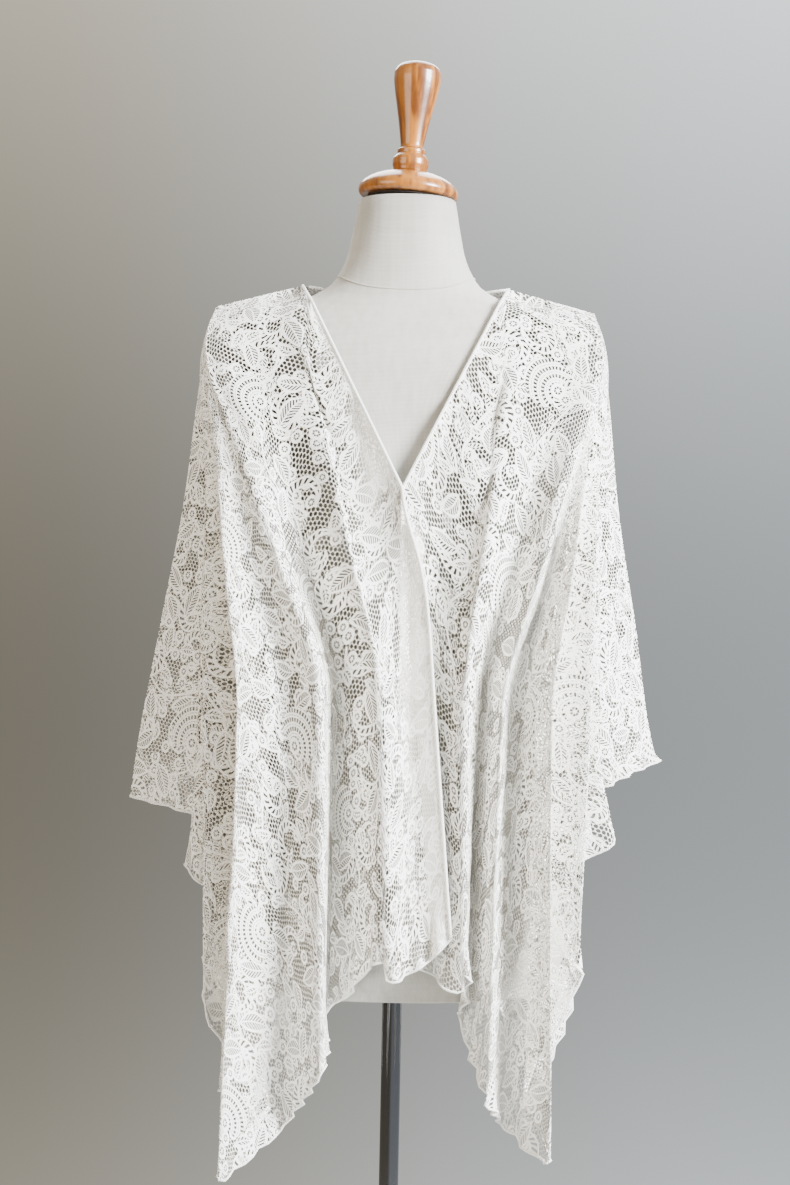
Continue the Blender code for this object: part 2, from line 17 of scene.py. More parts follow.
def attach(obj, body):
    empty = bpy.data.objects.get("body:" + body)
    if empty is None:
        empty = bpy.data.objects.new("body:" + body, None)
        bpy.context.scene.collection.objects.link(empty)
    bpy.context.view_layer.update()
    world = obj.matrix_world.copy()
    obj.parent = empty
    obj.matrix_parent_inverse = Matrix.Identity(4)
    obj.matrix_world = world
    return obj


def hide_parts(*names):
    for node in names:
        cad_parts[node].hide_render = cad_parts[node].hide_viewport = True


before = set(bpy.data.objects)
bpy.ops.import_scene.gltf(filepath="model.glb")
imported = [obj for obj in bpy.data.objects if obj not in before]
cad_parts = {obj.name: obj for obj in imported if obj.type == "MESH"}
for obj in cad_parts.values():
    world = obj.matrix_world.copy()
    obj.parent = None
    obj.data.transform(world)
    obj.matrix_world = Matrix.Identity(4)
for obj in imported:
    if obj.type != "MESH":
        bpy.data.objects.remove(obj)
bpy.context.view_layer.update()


# The lace, cut flat. "Across" runs out from the centre line, "down" runs from the shoulder line.
RIGHT_REACH = 0.700
LEFT_REACH = 0.655
LENGTH = 0.745
NECK_HALF = 0.105
V_DEPTH = 0.315
BACK_NECK_DEPTH = 0.040
CORNER_RADIUS = 0.060
HOLLOW = 0.030
HOLLOW_PLACE = 0.105
HOLLOW_SPREAD = 0.060
NECK_POINT_FOLD = 2
SEAM_GAP = 0.0008

# Where the lace lies: distances down from the shoulder line at which its folds are given.
YOKE = 0.070
BREAST = 0.200
RIBS = 0.320
WAIST = 0.450
SHOULDER_OUT = 0.193
SHOULDER_Z = 1.360
NECK_POINT_Z = 1.383
HOOK_Z = 1.171
BACK_NECK_Z = 1.372
FORM_CLEARANCE = 0.0050
BREAST_SHARE = np.array([0.42, 0.13])
RIBS_SHARE = np.array([0.48, 0.60])
MOST_LIFT = 0.004
EASING_PASSES = 4
HALVINGS = 24


# The dress form and its stand.
FORM_SIDES = 112
FORM_ROUNDNESS = 2.3
NECK_TOP_Z = 1.469
FORM_BOTTOM_Z = 0.675
CAP_TILT = math.radians(3.6)
CAP_RISE = 0.0030
SPACER_THICKNESS = 0.0015
CAP_RADIUS = 0.051
POLE_RADIUS = 0.010
BASE_RADIUS = 0.175
BASE_HEIGHT = 0.014
COLLAR_RADIUS = 0.020
COLLAR_HEIGHT = 0.050
TOUCH_GAP = 0.0003
TURNED_STEPS = 96


# Plan sections of the form: half its width, and how far it goes forward and back of the shoulder line.
Section = collections.namedtuple("Section", "z half_width front back")
FORM_SECTIONS = (
    Section(FORM_BOTTOM_Z, 0.152, 0.096, 0.108),
    Section(0.688, 0.163, 0.105, 0.118),
    Section(0.780, 0.172, 0.110, 0.126),
    Section(0.860, 0.166, 0.106, 0.120),
    Section(0.940, 0.144, 0.098, 0.102),
    Section(1.010, 0.127, 0.090, 0.088),
    Section(1.080, 0.135, 0.096, 0.090),
    Section(1.160, 0.152, 0.104, 0.098),
    Section(1.240, 0.165, 0.097, 0.104),
    Section(1.300, 0.178, 0.082, 0.098),
    Section(1.328, 0.183, 0.069, 0.086),
    Section(1.348, 0.160, 0.058, 0.074),
    Section(1.364, 0.112, 0.050, 0.064),
    Section(1.380, 0.080, 0.049, 0.059),
    Section(1.396, 0.0675, 0.049, 0.056),
    Section(1.412, 0.0605, 0.0495, 0.0540),
    Section(1.432, 0.0560, 0.0490, 0.0520),
    Section(NECK_TOP_Z, 0.0495, 0.0470, 0.0470),
)
BREAST_SWELL = 0.018
BREAST_PLACE = (0.082, 1.165)
BREAST_SPREAD = (0.048, 0.055)

# Where smooth lace would stand at a level: how much of its place at the shoulder it keeps, how much further
# out it is under the middle of the wing, and how far from the shoulder plane it is at the centre.
Level = collections.namedtuple("Level", "kept wing_out depth")
YOKE_LEVEL = Level(1.0, 0.014, 0.056)
FRONT_BREAST_LEVEL = Level(0.97, 0.034, 0.103)
BACK_BREAST_LEVEL = Level(0.97, 0.034, 0.109)
WAIST_LEVEL = Level(0.78, 0.112, 0.150)
BREAST_ROUNDING = 0.9

# The folds of each quarter of the lace, a row for each ridge or valley, from the centre outwards.
# At the waist: how much lace lies between the centre and this fold, and where the fold stands, out from
# the centre line and away from the shoulder plane. At the outer edge of the lace: how far along the edge
# the fold ends, from the centre round the corner to the wing, and where it stands.
Fold = collections.namedtuple("Fold", "across out depth edge end_out end_depth")
RIGHT_FRONT = (
    Fold(0.000, -0.028, 0.154, 0.000, -0.053, 0.158),
    Fold(0.045, -0.003, 0.148, 0.050, -0.024, 0.152),
    Fold(0.105, 0.022, 0.166, 0.105, 0.014, 0.166),
    Fold(0.150, 0.058, 0.110, 0.250, 0.062, 0.088),
    Fold(0.235, 0.072, 0.168, 0.430, 0.064, 0.172),
    Fold(0.310, 0.108, 0.148, 0.570, 0.104, 0.128),
    Fold(0.400, 0.150, 0.172, 0.687, 0.160, 0.168),
    Fold(0.475, 0.124, 0.112, 0.770, 0.120, 0.098),
    Fold(0.545, 0.186, 0.124, 0.925, 0.180, 0.128),
    Fold(0.615, 0.136, 0.080, 1.050, 0.148, 0.078),
    Fold(0.685, 0.196, 0.082, 1.152, 0.202, 0.084),
    Fold(0.750, 0.152, 0.044, 1.240, 0.172, 0.042),
    Fold(0.820, 0.206, 0.042, 1.325, 0.208, 0.040),
    Fold(0.900, 0.264, 0.001, 1.420, 0.271, 0.001),
)
LEFT_FRONT = (
    Fold(0.000, 0.000, 0.136, 0.000, 0.004, 0.138),
    Fold(0.045, 0.028, 0.128, 0.050, 0.030, 0.130),
    Fold(0.105, 0.064, 0.160, 0.120, 0.068, 0.162),
    Fold(0.155, 0.080, 0.108, 0.260, 0.066, 0.086),
    Fold(0.215, 0.098, 0.150, 0.440, 0.090, 0.164),
    Fold(0.285, 0.112, 0.120, 0.540, 0.110, 0.112),
    Fold(0.380, 0.144, 0.168, 0.642, 0.150, 0.170),
    Fold(0.475, 0.132, 0.104, 0.712, 0.130, 0.096),
    Fold(0.545, 0.184, 0.126, 0.887, 0.176, 0.130),
    Fold(0.610, 0.138, 0.078, 1.008, 0.148, 0.076),
    Fold(0.680, 0.198, 0.084, 1.100, 0.216, 0.074),
    Fold(0.745, 0.152, 0.042, 1.187, 0.172, 0.040),
    Fold(0.812, 0.210, 0.044, 1.265, 0.214, 0.042),
    Fold(0.900, 0.262, 0.001, 1.375, 0.269, 0.001),
)
RIGHT_BACK = (
    Fold(0.000, 0.000, 0.148, 0.000, 0.000, 0.156),
    Fold(0.060, 0.034, 0.124, 0.065, 0.036, 0.122),
    Fold(0.125, 0.064, 0.168, 0.140, 0.068, 0.176),
    Fold(0.185, 0.090, 0.120, 0.240, 0.094, 0.106),
    Fold(0.250, 0.116, 0.178, 0.400, 0.112, 0.190),
    Fold(0.330, 0.132, 0.124, 0.560, 0.130, 0.124),
    Fold(0.415, 0.174, 0.156, 0.687, 0.188, 0.154),
    Fold(0.505, 0.138, 0.090, 0.770, 0.152, 0.084),
    Fold(0.575, 0.196, 0.104, 0.930, 0.202, 0.108),
    Fold(0.645, 0.144, 0.062, 1.050, 0.164, 0.062),
    Fold(0.720, 0.206, 0.062, 1.160, 0.208, 0.064),
    Fold(0.790, 0.158, 0.032, 1.250, 0.178, 0.030),
    Fold(0.900, 0.264, 0.001, 1.420, 0.271, 0.001),
)
LEFT_BACK = (
    Fold(0.000, 0.000, 0.148, 0.000, 0.000, 0.156),
    Fold(0.055, 0.032, 0.166, 0.060, 0.034, 0.172),
    Fold(0.125, 0.058, 0.120, 0.135, 0.062, 0.110),
    Fold(0.185, 0.096, 0.174, 0.250, 0.100, 0.188),
    Fold(0.255, 0.112, 0.120, 0.400, 0.114, 0.106),
    Fold(0.335, 0.152, 0.168, 0.540, 0.152, 0.182),
    Fold(0.420, 0.138, 0.102, 0.642, 0.154, 0.096),
    Fold(0.510, 0.192, 0.116, 0.800, 0.198, 0.118),
    Fold(0.580, 0.138, 0.070, 0.940, 0.160, 0.070),
    Fold(0.650, 0.202, 0.076, 1.060, 0.206, 0.080),
    Fold(0.720, 0.150, 0.038, 1.140, 0.175, 0.036),
    Fold(0.790, 0.204, 0.040, 1.230, 0.212, 0.040),
    Fold(0.900, 0.262, 0.001, 1.375, 0.269, 0.001),
)


def curve_through(places, values, slopes, wanted):
    """A smooth curve through the values, with this slope at each."""
    spot = np.clip(np.searchsorted(places, wanted, side="right") - 1, 0, len(places) - 2)
    span = places[spot + 1] - places[spot]
    t = (np.asarray(wanted, float) - places[spot]) / span
    if values.ndim > 1:
        t = t[..., None]
        span = span[..., None]
    start_share = 2 * t**3 - 3 * t**2 + 1
    start_slope = t**3 - 2 * t**2 + t
    end_slope = t**3 - t**2
    return (
        start_share * values[spot]
        + (1 - start_share) * values[spot + 1]
        + span * (start_slope * slopes[spot] + end_slope * slopes[spot + 1])
    )


def smooth_through(places, values, wanted):
    """A smooth curve through the values, with slopes from the neighbours on each side."""
    places = np.asarray(places, float)
    values = np.asarray(values, float)
    return curve_through(places, values, np.gradient(values, places, axis=0), wanted)


def steady_through(places, values, wanted):
    """A smooth curve through the values that never swings past them."""
    places = np.asarray(places, float)
    values = np.asarray(values, float)
    rises = np.diff(values, axis=0) / np.diff(places)[:, None]
    same_way = rises[:-1] * rises[1:] > 0
    inner = np.where(same_way, 2 * rises[:-1] * rises[1:] / np.where(same_way, rises[:-1] + rises[1:], 1), 0)
    return curve_through(places, values, np.vstack([rises[:1], inner, rises[-1:]]), wanted)


# --- the dress form ---------------------------------------------------------------------------------

SECTION_TABLE = np.array(FORM_SECTIONS)


def form_section(z):
    """Half the form's width and its reach forward and back at these heights."""
    heights = np.clip(np.atleast_1d(z), FORM_BOTTOM_Z, NECK_TOP_Z)
    return smooth_through(SECTION_TABLE[:, 0], SECTION_TABLE[:, 1:], heights).T


def breast_swell(out, z):
    across = (np.abs(out) - BREAST_PLACE[0]) / BREAST_SPREAD[0]
    up = (np.asarray(z) - BREAST_PLACE[1]) / BREAST_SPREAD[1]
    return BREAST_SWELL * np.exp(-(across**2) - up**2)


def form_depth(out, z, in_front):
    """How far the form, with its clearance, stands from the shoulder plane at these places."""
    half_width, front, back = form_section(z)
    depth = (front + breast_swell(out, z) if in_front else back) + FORM_CLEARANCE
    share = np.clip(np.abs(out) / (half_width + FORM_CLEARANCE), 0, 1) ** FORM_ROUNDNESS
    return depth * (1 - share) ** (1 / FORM_ROUNDNESS)


def form_point(angle, z):
    half_width, front, back = form_section(z)[:, 0]
    cosine = math.cos(angle)
    sine = math.sin(angle)
    power = 2 / FORM_ROUNDNESS
    x = half_width * math.copysign(abs(cosine) ** power, cosine)
    if sine > 0:
        return x, back * sine**power, z
    swell = breast_swell(x, z) * min(1.0, -2 * sine)
    return x, -front * abs(sine) ** power - swell, z


def edge_place(along, reach):
    """Across and down, flat, of a point this far along the outer edge from the centre."""
    hem = reach - CORNER_RADIUS
    bend = CORNER_RADIUS * math.pi / 2
    if along <= hem:
        return along, LENGTH - HOLLOW * math.exp(-(((along - HOLLOW_PLACE) / HOLLOW_SPREAD) ** 2))
    if along <= hem + bend:
        turn = (along - hem) / CORNER_RADIUS
        return hem + CORNER_RADIUS * math.sin(turn), LENGTH - CORNER_RADIUS * (1 - math.cos(turn))
    return reach, max(0.0, LENGTH - CORNER_RADIUS - (along - hem - bend))


def waist_place(across):
    """Across and down, flat, of the lace lying at the waist's distance from the shoulder line."""
    if across <= SHOULDER_OUT:
        return across, WAIST
    turn = turn_of(across)
    return SHOULDER_OUT + WAIST * math.sin(turn), WAIST * math.cos(turn)


def neck_start(across, neck_depth):
    """How far below the shoulder line the lace starts, this far out from the centre."""
    if across >= NECK_HALF:
        return 0.0
    return neck_depth * (1 - across / NECK_HALF)


def turn_of(across):
    """The angle, about the shoulder's end, of the strand lying this far out at the waist."""
    return min(max(0.0, across - SHOULDER_OUT) / WAIST, math.pi / 2)


def smooth_place(level, across, rounding=1.0):
    """Where smooth lace stands at a level: out, and away from the shoulder plane."""
    turn = turn_of(across)
    out = level.kept * min(across, SHOULDER_OUT) + level.wing_out * math.sin(turn)
    return np.array([out, level.depth * math.cos(turn) ** rounding])


def fold_course(fold, in_front):
    """Where one fold stands in plan at each station: out, and away from the shoulder plane."""
    start_out = min(fold.across, SHOULDER_OUT)
    waist = np.array([fold.out, fold.depth])
    yoke = smooth_place(YOKE_LEVEL, fold.across)
    breast_level = FRONT_BREAST_LEVEL if in_front else BACK_BREAST_LEVEL
    breast = smooth_place(breast_level, fold.across, BREAST_ROUNDING)
    breast += BREAST_SHARE * (waist - smooth_place(WAIST_LEVEL, fold.across))
    ribs = breast + RIBS_SHARE * (waist - breast)
    return np.array([[start_out, 0.0], yoke, breast, ribs, waist, [fold.end_out, fold.end_depth]])


def hang(plan, flat, in_front):
    """Points whose heights keep each strand at its flat length, lying on the form or hanging clear of it."""
    out = plan[..., 0].copy()
    depth = plan[..., 1].copy()
    height = np.zeros_like(out)
    out[0], depth[0], height[0] = first_row(flat[0], depth[0], in_front)
    shift = out[0] - plan[0, :, 0]
    travelled = np.zeros(out.shape[1])
    for row in range(1, len(out)):
        step = np.linalg.norm(flat[row] - flat[row - 1], axis=1)
        travelled += step
        out[row] += shift * np.exp(-((travelled / YOKE) ** 2))
        shortest = 0.05 * step
        longest = step.copy()
        for _ in range(HALVINGS):
            drop = (shortest + longest) / 2
            z = height[row - 1] - drop
            y = np.maximum(depth[row], form_depth(out[row], z, in_front))
            run = np.sqrt((out[row] - out[row - 1]) ** 2 + (y - depth[row - 1]) ** 2 + drop**2)
            longest = np.where(run > step, drop, longest)
            shortest = np.where(run > step, shortest, drop)
        height[row] = z
        depth[row] = y
    on_seam = flat[..., 1] < 1e-6
    points = np.stack([out, depth, height], axis=-1)
    ease_off_form(points, on_seam, in_front)
    points[..., 1] = np.where(on_seam, SEAM_GAP / 2, np.maximum(points[..., 1], SEAM_GAP))
    if in_front:
        points[..., 1] *= -1
    return points


def inside_form(points, in_front):
    """Below nought for a point inside the form's clearance, and above it outside."""
    half_width, front, back = form_section(points[:, 2])
    depth = front + breast_swell(points[:, 0], points[:, 2]) if in_front else back
    share = (np.abs(points[:, 0]) / (half_width + FORM_CLEARANCE)) ** FORM_ROUNDNESS
    share += (np.abs(points[:, 1]) / (depth + FORM_CLEARANCE)) ** FORM_ROUNDNESS
    return share - 1


def way_out(points, in_front):
    """The short move that takes each point out of the form's clearance, and nought for one outside it."""
    nudge = 0.001
    level = inside_form(points, in_front)
    slope = np.stack(
        [(inside_form(points + nudge * axis, in_front) - level) / nudge for axis in np.eye(3)], axis=1
    )
    steepness = np.maximum(np.linalg.norm(slope, axis=1), 1e-6)
    return slope / steepness[:, None] * np.clip(-level / steepness, 0, MOST_LIFT)[:, None]


def ease_off_form(points, on_seam, in_front):
    """Lifts the lace wherever the middle of a stretch between points would cut into the form."""
    rows, strands = points.shape[:2]
    for _ in range(EASING_PASSES):
        for down, sideways in ((0, 1), (1, 0), (1, 1), (1, -1)):
            here = (slice(0, rows - down), slice(max(0, -sideways), strands - max(0, sideways)))
            there = (slice(down, rows), slice(max(0, sideways), strands + min(0, sideways)))
            middle = ((points[here] + points[there]) / 2).reshape(-1, 3)
            move = way_out(middle, in_front).reshape(points[here].shape)
            points[here] += move
            points[there] += move
        points[on_seam, 1] = 0


def first_row(flat_row, hanging_depth, in_front):
    """Where the neck edge and the shoulder seam stand: out, depth and height of each strand's start."""
    out = flat_row[:, 0].copy()
    along_neck = np.clip(1 - out / NECK_HALF, 0, 1)
    lowest = HOOK_Z if in_front else BACK_NECK_Z
    slope = np.clip((out - NECK_HALF) / (SHOULDER_OUT - NECK_HALF), 0, 1)
    height = NECK_POINT_Z + (lowest - NECK_POINT_Z) * along_neck + (SHOULDER_Z - NECK_POINT_Z) * slope
    on_form = form_depth(out, height, in_front)
    depth = np.where(along_neck > 0, np.maximum(on_form, hanging_depth), 0)
    return out, depth, height


# --- the lace, finely -------------------------------------------------------------------------------

STRANDS = 10
ROWS_TO_WAIST = 62
ROWS_TO_HEM = 62
ROW_STEPS = np.concatenate([np.linspace(0, 1, ROWS_TO_WAIST + 1), np.linspace(1, 2, ROWS_TO_HEM + 1)[1:]])
ROLL_RADIUS = 0.0017
HEM_ROLL_RADIUS = 0.0012
RIPPLE_REACH = 0.045
CREASE_BOW = 0.012
CALM_BESIDE_SEAM = 0.020

# Small creases, a row for each, by their ends on the flat lace: across from the centre and down from the
# shoulder line. Depth is away from the form for a ridge, and towards it, below nought, for a trough.
Crease = collections.namedtuple("Crease", "across_top down_top across_low down_low width depth")
RIGHT_FRONT_CREASES = (
    Crease(0.110, 0.030, 0.060, 0.230, 0.010, 0.0028),
    Crease(0.150, 0.050, 0.115, 0.300, 0.012, -0.0030),
    Crease(0.185, 0.060, 0.150, 0.360, 0.011, 0.0034),
    Crease(0.020, 0.330, 0.090, 0.430, 0.009, 0.0030),
    Crease(0.015, 0.360, 0.040, 0.560, 0.008, -0.0028),
    Crease(0.070, 0.420, 0.085, 0.690, 0.009, 0.0036),
    Crease(0.215, 0.260, 0.290, 0.520, 0.009, -0.0034),
    Crease(0.270, 0.300, 0.400, 0.640, 0.010, 0.0040),
    Crease(0.330, 0.330, 0.470, 0.600, 0.008, -0.0030),
    Crease(0.430, 0.360, 0.560, 0.650, 0.010, 0.0036),
    Crease(0.500, 0.180, 0.660, 0.300, 0.010, 0.0026),
    Crease(0.380, 0.060, 0.610, 0.160, 0.011, -0.0026),
)
LEFT_FRONT_CREASES = (
    Crease(0.115, 0.040, 0.075, 0.260, 0.011, 0.0030),
    Crease(0.160, 0.060, 0.140, 0.280, 0.011, -0.0026),
    Crease(0.190, 0.090, 0.170, 0.380, 0.010, 0.0032),
    Crease(0.030, 0.340, 0.110, 0.460, 0.009, -0.0028),
    Crease(0.060, 0.400, 0.050, 0.640, 0.009, 0.0034),
    Crease(0.130, 0.380, 0.150, 0.700, 0.008, 0.0030),
    Crease(0.240, 0.280, 0.330, 0.600, 0.010, -0.0036),
    Crease(0.300, 0.360, 0.430, 0.700, 0.009, 0.0038),
    Crease(0.400, 0.300, 0.540, 0.560, 0.009, 0.0030),
    Crease(0.470, 0.200, 0.620, 0.340, 0.010, -0.0028),
    Crease(0.350, 0.070, 0.580, 0.150, 0.011, 0.0024),
)
BACK_CREASES = (
    Crease(0.030, 0.060, 0.020, 0.300, 0.013, 0.0030),
    Crease(0.090, 0.090, 0.110, 0.420, 0.012, -0.0030),
    Crease(0.150, 0.050, 0.130, 0.330, 0.012, 0.0034),
    Crease(0.080, 0.420, 0.090, 0.720, 0.009, 0.0036),
    Crease(0.200, 0.240, 0.260, 0.520, 0.010, -0.0034),
    Crease(0.240, 0.330, 0.360, 0.680, 0.009, 0.0038),
    Crease(0.360, 0.300, 0.500, 0.600, 0.010, 0.0030),
    Crease(0.450, 0.200, 0.620, 0.360, 0.010, -0.0028),
    Crease(0.400, 0.070, 0.600, 0.150, 0.011, 0.0026),
)


def crease_lift(flat, creases):
    """How far the creases lift the lace at each point of its flat cut."""
    lift = np.zeros(flat.shape[:-1])
    for crease in creases:
        top = np.array([crease.across_top, crease.down_top])
        run = np.array([crease.across_low, crease.down_low]) - top
        length = np.linalg.norm(run)
        along = ((flat - top) @ run) / length**2
        bow = CREASE_BOW * np.sin(math.pi * np.clip(along, 0, 1))
        aside = ((flat - top) @ np.array([run[1], -run[0]])) / length - bow
        fade = np.sin(math.pi * np.clip(along, 0, 1)) ** 0.7
        lift += crease.depth * fade * np.exp(-((aside / crease.width) ** 2))
    return lift


def ripple_lift(to_edge, along_edge, seed):
    """The small waves of a stretched, rolled hem: strongest at the edge, uneven along it."""
    near = np.clip(1 - to_edge / RIPPLE_REACH, 0, 1) ** 1.6
    phase = along_edge / 0.036 + 0.55 * np.sin(along_edge / 0.083 + seed) + seed
    strength = 0.0024 + 0.0017 * np.sin(along_edge / 0.121 + 2.3 * seed) ** 2
    strength = strength + 0.0014 * np.sin(along_edge / 0.047 + seed) ** 2
    return near * strength * np.sin(2 * math.pi * phase)


def grid_normals(points):
    """Unit normals of a grid of points, [row][strand]."""
    down = np.gradient(points, axis=0)
    sideways = np.gradient(points, axis=1)
    normals = np.cross(sideways, down)
    return normals / np.maximum(np.linalg.norm(normals, axis=-1), 1e-9)[..., None]


def drape_quarter(folds, reach, side, in_front, creases, seed):
    """Points of one quarter of the lace, [row][strand], and the same points on the flat cut."""
    neck_depth = V_DEPTH if in_front else BACK_NECK_DEPTH
    flats = []
    plans = []
    edge_lengths = []
    for fold in folds:
        start = (min(fold.across, SHOULDER_OUT), neck_start(fold.across, neck_depth))
        corners = np.array([start, waist_place(fold.across), edge_place(fold.edge, reach)])
        lengths = np.linalg.norm(np.diff(corners, axis=0), axis=1)
        flat = np.column_stack([np.interp(ROW_STEPS, (0, 1, 2), corners[:, axis]) for axis in (0, 1)])
        down = start[1] + np.interp(ROW_STEPS, (0, 1, 2), (0, lengths[0], lengths.sum()))
        stations = (0.0, YOKE, BREAST, RIBS, start[1] + lengths[0], start[1] + lengths.sum())
        plans.append(steady_through(stations, fold_course(fold, in_front), down))
        flats.append(flat)
        edge_lengths.append(lengths[1])
    flats = np.array(flats)
    plans = np.array(plans)
    places = np.arange(len(folds))
    wanted = np.linspace(0, len(folds) - 1, (len(folds) - 1) * STRANDS + 1)
    flat = np.stack(
        [
            [np.interp(wanted, places, flats[:, row, axis]) for axis in (0, 1)]
            for row in range(len(ROW_STEPS))
        ]
    ).transpose(0, 2, 1)
    edge_along = np.interp(wanted, places, [fold.edge for fold in folds])
    flat[-1] = [edge_place(along, reach) for along in edge_along]
    plan = np.stack([smooth_through(places, plans[:, row], wanted) for row in range(len(ROW_STEPS))])
    points = hang(plan, flat, in_front)
    on_seam = np.abs(points[..., 1]) <= SEAM_GAP * 1.01
    normals = grid_normals(points)
    outward = np.sign((normals[..., 1] * (-1 if in_front else 1)).mean())
    to_edge = (2 - ROW_STEPS)[:, None] * np.interp(wanted, places, edge_lengths)[None, :]
    lift = crease_lift(flat, creases) + ripple_lift(to_edge, edge_along[None, :], seed)
    lift *= np.clip(np.abs(points[..., 1]) / CALM_BESIDE_SEAM, 0, 1)
    points = points + normals * outward * lift[..., None]
    points[..., 0] *= side
    push_off_form(points, on_seam, in_front)
    flat[..., 0] *= side
    flat[..., 1] *= -1 if in_front else 1
    return points, flat


def push_off_form(points, on_seam, in_front):
    """Moves any point that a crease has taken into the form's clearance back out of it."""
    in_line = points.reshape(-1, 3)
    for _ in range(3):
        move = way_out(in_line, in_front)
        move[on_seam.reshape(-1)] = 0
        in_line += move


def new_piece(name, mesh, material, replaces=()):
    """Adds a finished mesh to the scene, riding on the root body."""
    data = bpy.data.meshes.new(name)
    mesh.to_mesh(data)
    mesh.free()
    return finish_piece(bpy.data.objects.new(name, data), material, replaces)


def finish_piece(piece, material, replaces=()):
    if piece.name not in bpy.context.scene.collection.objects:
        for collection in list(piece.users_collection):
            collection.objects.unlink(piece)
        bpy.context.scene.collection.objects.link(piece)
    piece.data.materials.clear()
    piece.data.materials.append(material)
    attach(piece, "root")
    if replaces:
        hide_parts(*replaces)
    return piece


def make_sheet(name, points, flat, facing_front, material, replaces=()):
    """One quarter of the lace as a thin sheet, with its flat cut as UVs in metres."""
    rows, strands = points.shape[:2]
    mesh = bmesh.new()
    cut_map = mesh.loops.layers.uv.new("FlatCut")
    bake_map = mesh.loops.layers.uv.new("OFBake")
    corners = [[mesh.verts.new(point) for point in row] for row in points]
    low = flat.reshape(-1, 2).min(axis=0)
    span = (flat.reshape(-1, 2).max(axis=0) - low).max() * 1.01
    place = {}
    for row in range(rows):
        for strand in range(strands):
            place[corners[row][strand]] = flat[row, strand]
    for row in range(rows - 1):
        for strand in range(strands - 1):
            ring = (
                corners[row][strand],
                corners[row + 1][strand],
                corners[row + 1][strand + 1],
                corners[row][strand + 1],
            )
            face = mesh.faces.new(ring)
            face.smooth = True
            for loop in face.loops:
                loop[cut_map].uv = place[loop.vert]
                loop[bake_map].uv = (place[loop.vert] - low) / span
    mesh.normal_update()
    facing = sum(face.normal.y * face.calc_area() for face in mesh.faces)
    if (facing > 0) == facing_front:
        bmesh.ops.reverse_faces(mesh, faces=mesh.faces)
    bmesh.ops.remove_doubles(mesh, verts=mesh.verts, dist=0.00001)
    return new_piece(name, mesh, material, replaces)


def make_roll(name, line, radius, material, sides=8, replaces=()):
    """A rolled edge: a round cord of cloth along the line, closed at both ends, with UVs along and around."""
    line = np.array(line)
    keep = np.concatenate([[True], np.linalg.norm(np.diff(line, axis=0), axis=1) > 0.0004])
    line = line[keep]
    along = np.gradient(line, axis=0)
    along /= np.linalg.norm(along, axis=1)[:, None]
    travelled = np.concatenate([[0], np.cumsum(np.linalg.norm(np.diff(line, axis=0), axis=1))])
    across = np.cross(along[0], (0.0, 0.0, 1.0) if abs(along[0][2]) < 0.9 else (1.0, 0.0, 0.0))
    across /= np.linalg.norm(across)
    mesh = bmesh.new()
    cord_map = mesh.loops.layers.uv.new("AlongEdge")
    rings = []
    for point, way in zip(line, along):
        across = across - (across @ way) * way
        across /= np.linalg.norm(across)
        other = np.cross(way, across)
        turns = np.arange(sides) * 2 * math.pi / sides
        rings.append(
            [mesh.verts.new(point + radius * (math.cos(a) * across + math.sin(a) * other)) for a in turns]
        )
    for number, (here, there) in enumerate(zip(rings, rings[1:])):
        for side in range(sides):
            after = (side + 1) % sides
            face = mesh.faces.new((here[side], here[after], there[after], there[side]))
            face.smooth = True
            corners = ((number, side), (number, side + 1), (number + 1, side + 1), (number + 1, side))
            for loop, (ring, turn) in zip(face.loops, corners):
                loop[cord_map].uv = (travelled[ring], turn / sides * 2 * math.pi * radius)
    mesh.faces.new(rings[0][::-1])
    mesh.faces.new(rings[-1])
    bmesh.ops.recalc_face_normals(mesh, faces=mesh.faces)
    return new_piece(name, mesh, material, replaces)


# --- materials; the groups that draw the lace work in millimetres --------------------------------------


class Field:
    """A value that changes over a surface, worked out by math nodes."""

    def __init__(self, tree, socket):
        self.tree = tree
        self.socket = socket

    def work(self, operation, *others, clamp=False):
        node = self.tree.nodes.new("ShaderNodeMath")
        node.operation = operation
        node.use_clamp = clamp
        for slot_number, value in enumerate((self, *others)):
            if isinstance(value, Field):
                self.tree.links.new(value.socket, node.inputs[slot_number])
            else:
                node.inputs[slot_number].default_value = value
        return Field(self.tree, node.outputs[0])

    def __add__(self, other):
        return self.work("ADD", other)

    def __sub__(self, other):
        return self.work("SUBTRACT", other)

    def __mul__(self, other):
        return self.work("MULTIPLY", other)

    def __truediv__(self, other):
        return self.work("DIVIDE", other)

    def away(self):
        return self.work("ABSOLUTE")

    def larger(self, other):
        return self.work("MAXIMUM", other)

    def smaller(self, other):
        return self.work("MINIMUM", other)

    def sine(self):
        return self.work("SINE")

    def cosine(self):
        return self.work("COSINE")

    def repeat(self, period):
        """Counts up from minus half the period to plus half, again and again."""
        return self.work("WRAP", period / 2, -period / 2)

    def rising(self, low, high):
        """Nought below low, one above high, and smooth between."""
        node = self.tree.nodes.new("ShaderNodeMapRange")
        node.interpolation_type = "SMOOTHSTEP"
        self.tree.links.new(self.socket, node.inputs["Value"])
        node.inputs["From Min"].default_value = low
        node.inputs["From Max"].default_value = high
        return Field(self.tree, node.outputs[0])

    def falling(self, low, high):
        """One below low, nought above high, and smooth between."""
        return self.rising(low, high).work("MULTIPLY_ADD", -1.0, 1.0)

    def blend(self, other, share):
        """This value where the share is nought, the other where it is one."""
        return self + (other - self) * share


def new_group(name, inputs):
    """An empty shader node group, and its input fields by name."""
    tree = bpy.data.node_groups.new(name, "ShaderNodeTree")
    for label, default in inputs.items():
        socket = tree.interface.new_socket(name=label, in_out="INPUT", socket_type="NodeSocketFloat")
        socket.default_value = default
    entry = tree.nodes.new("NodeGroupInput")
    return tree, {label: Field(tree, entry.outputs[label]) for label in inputs}


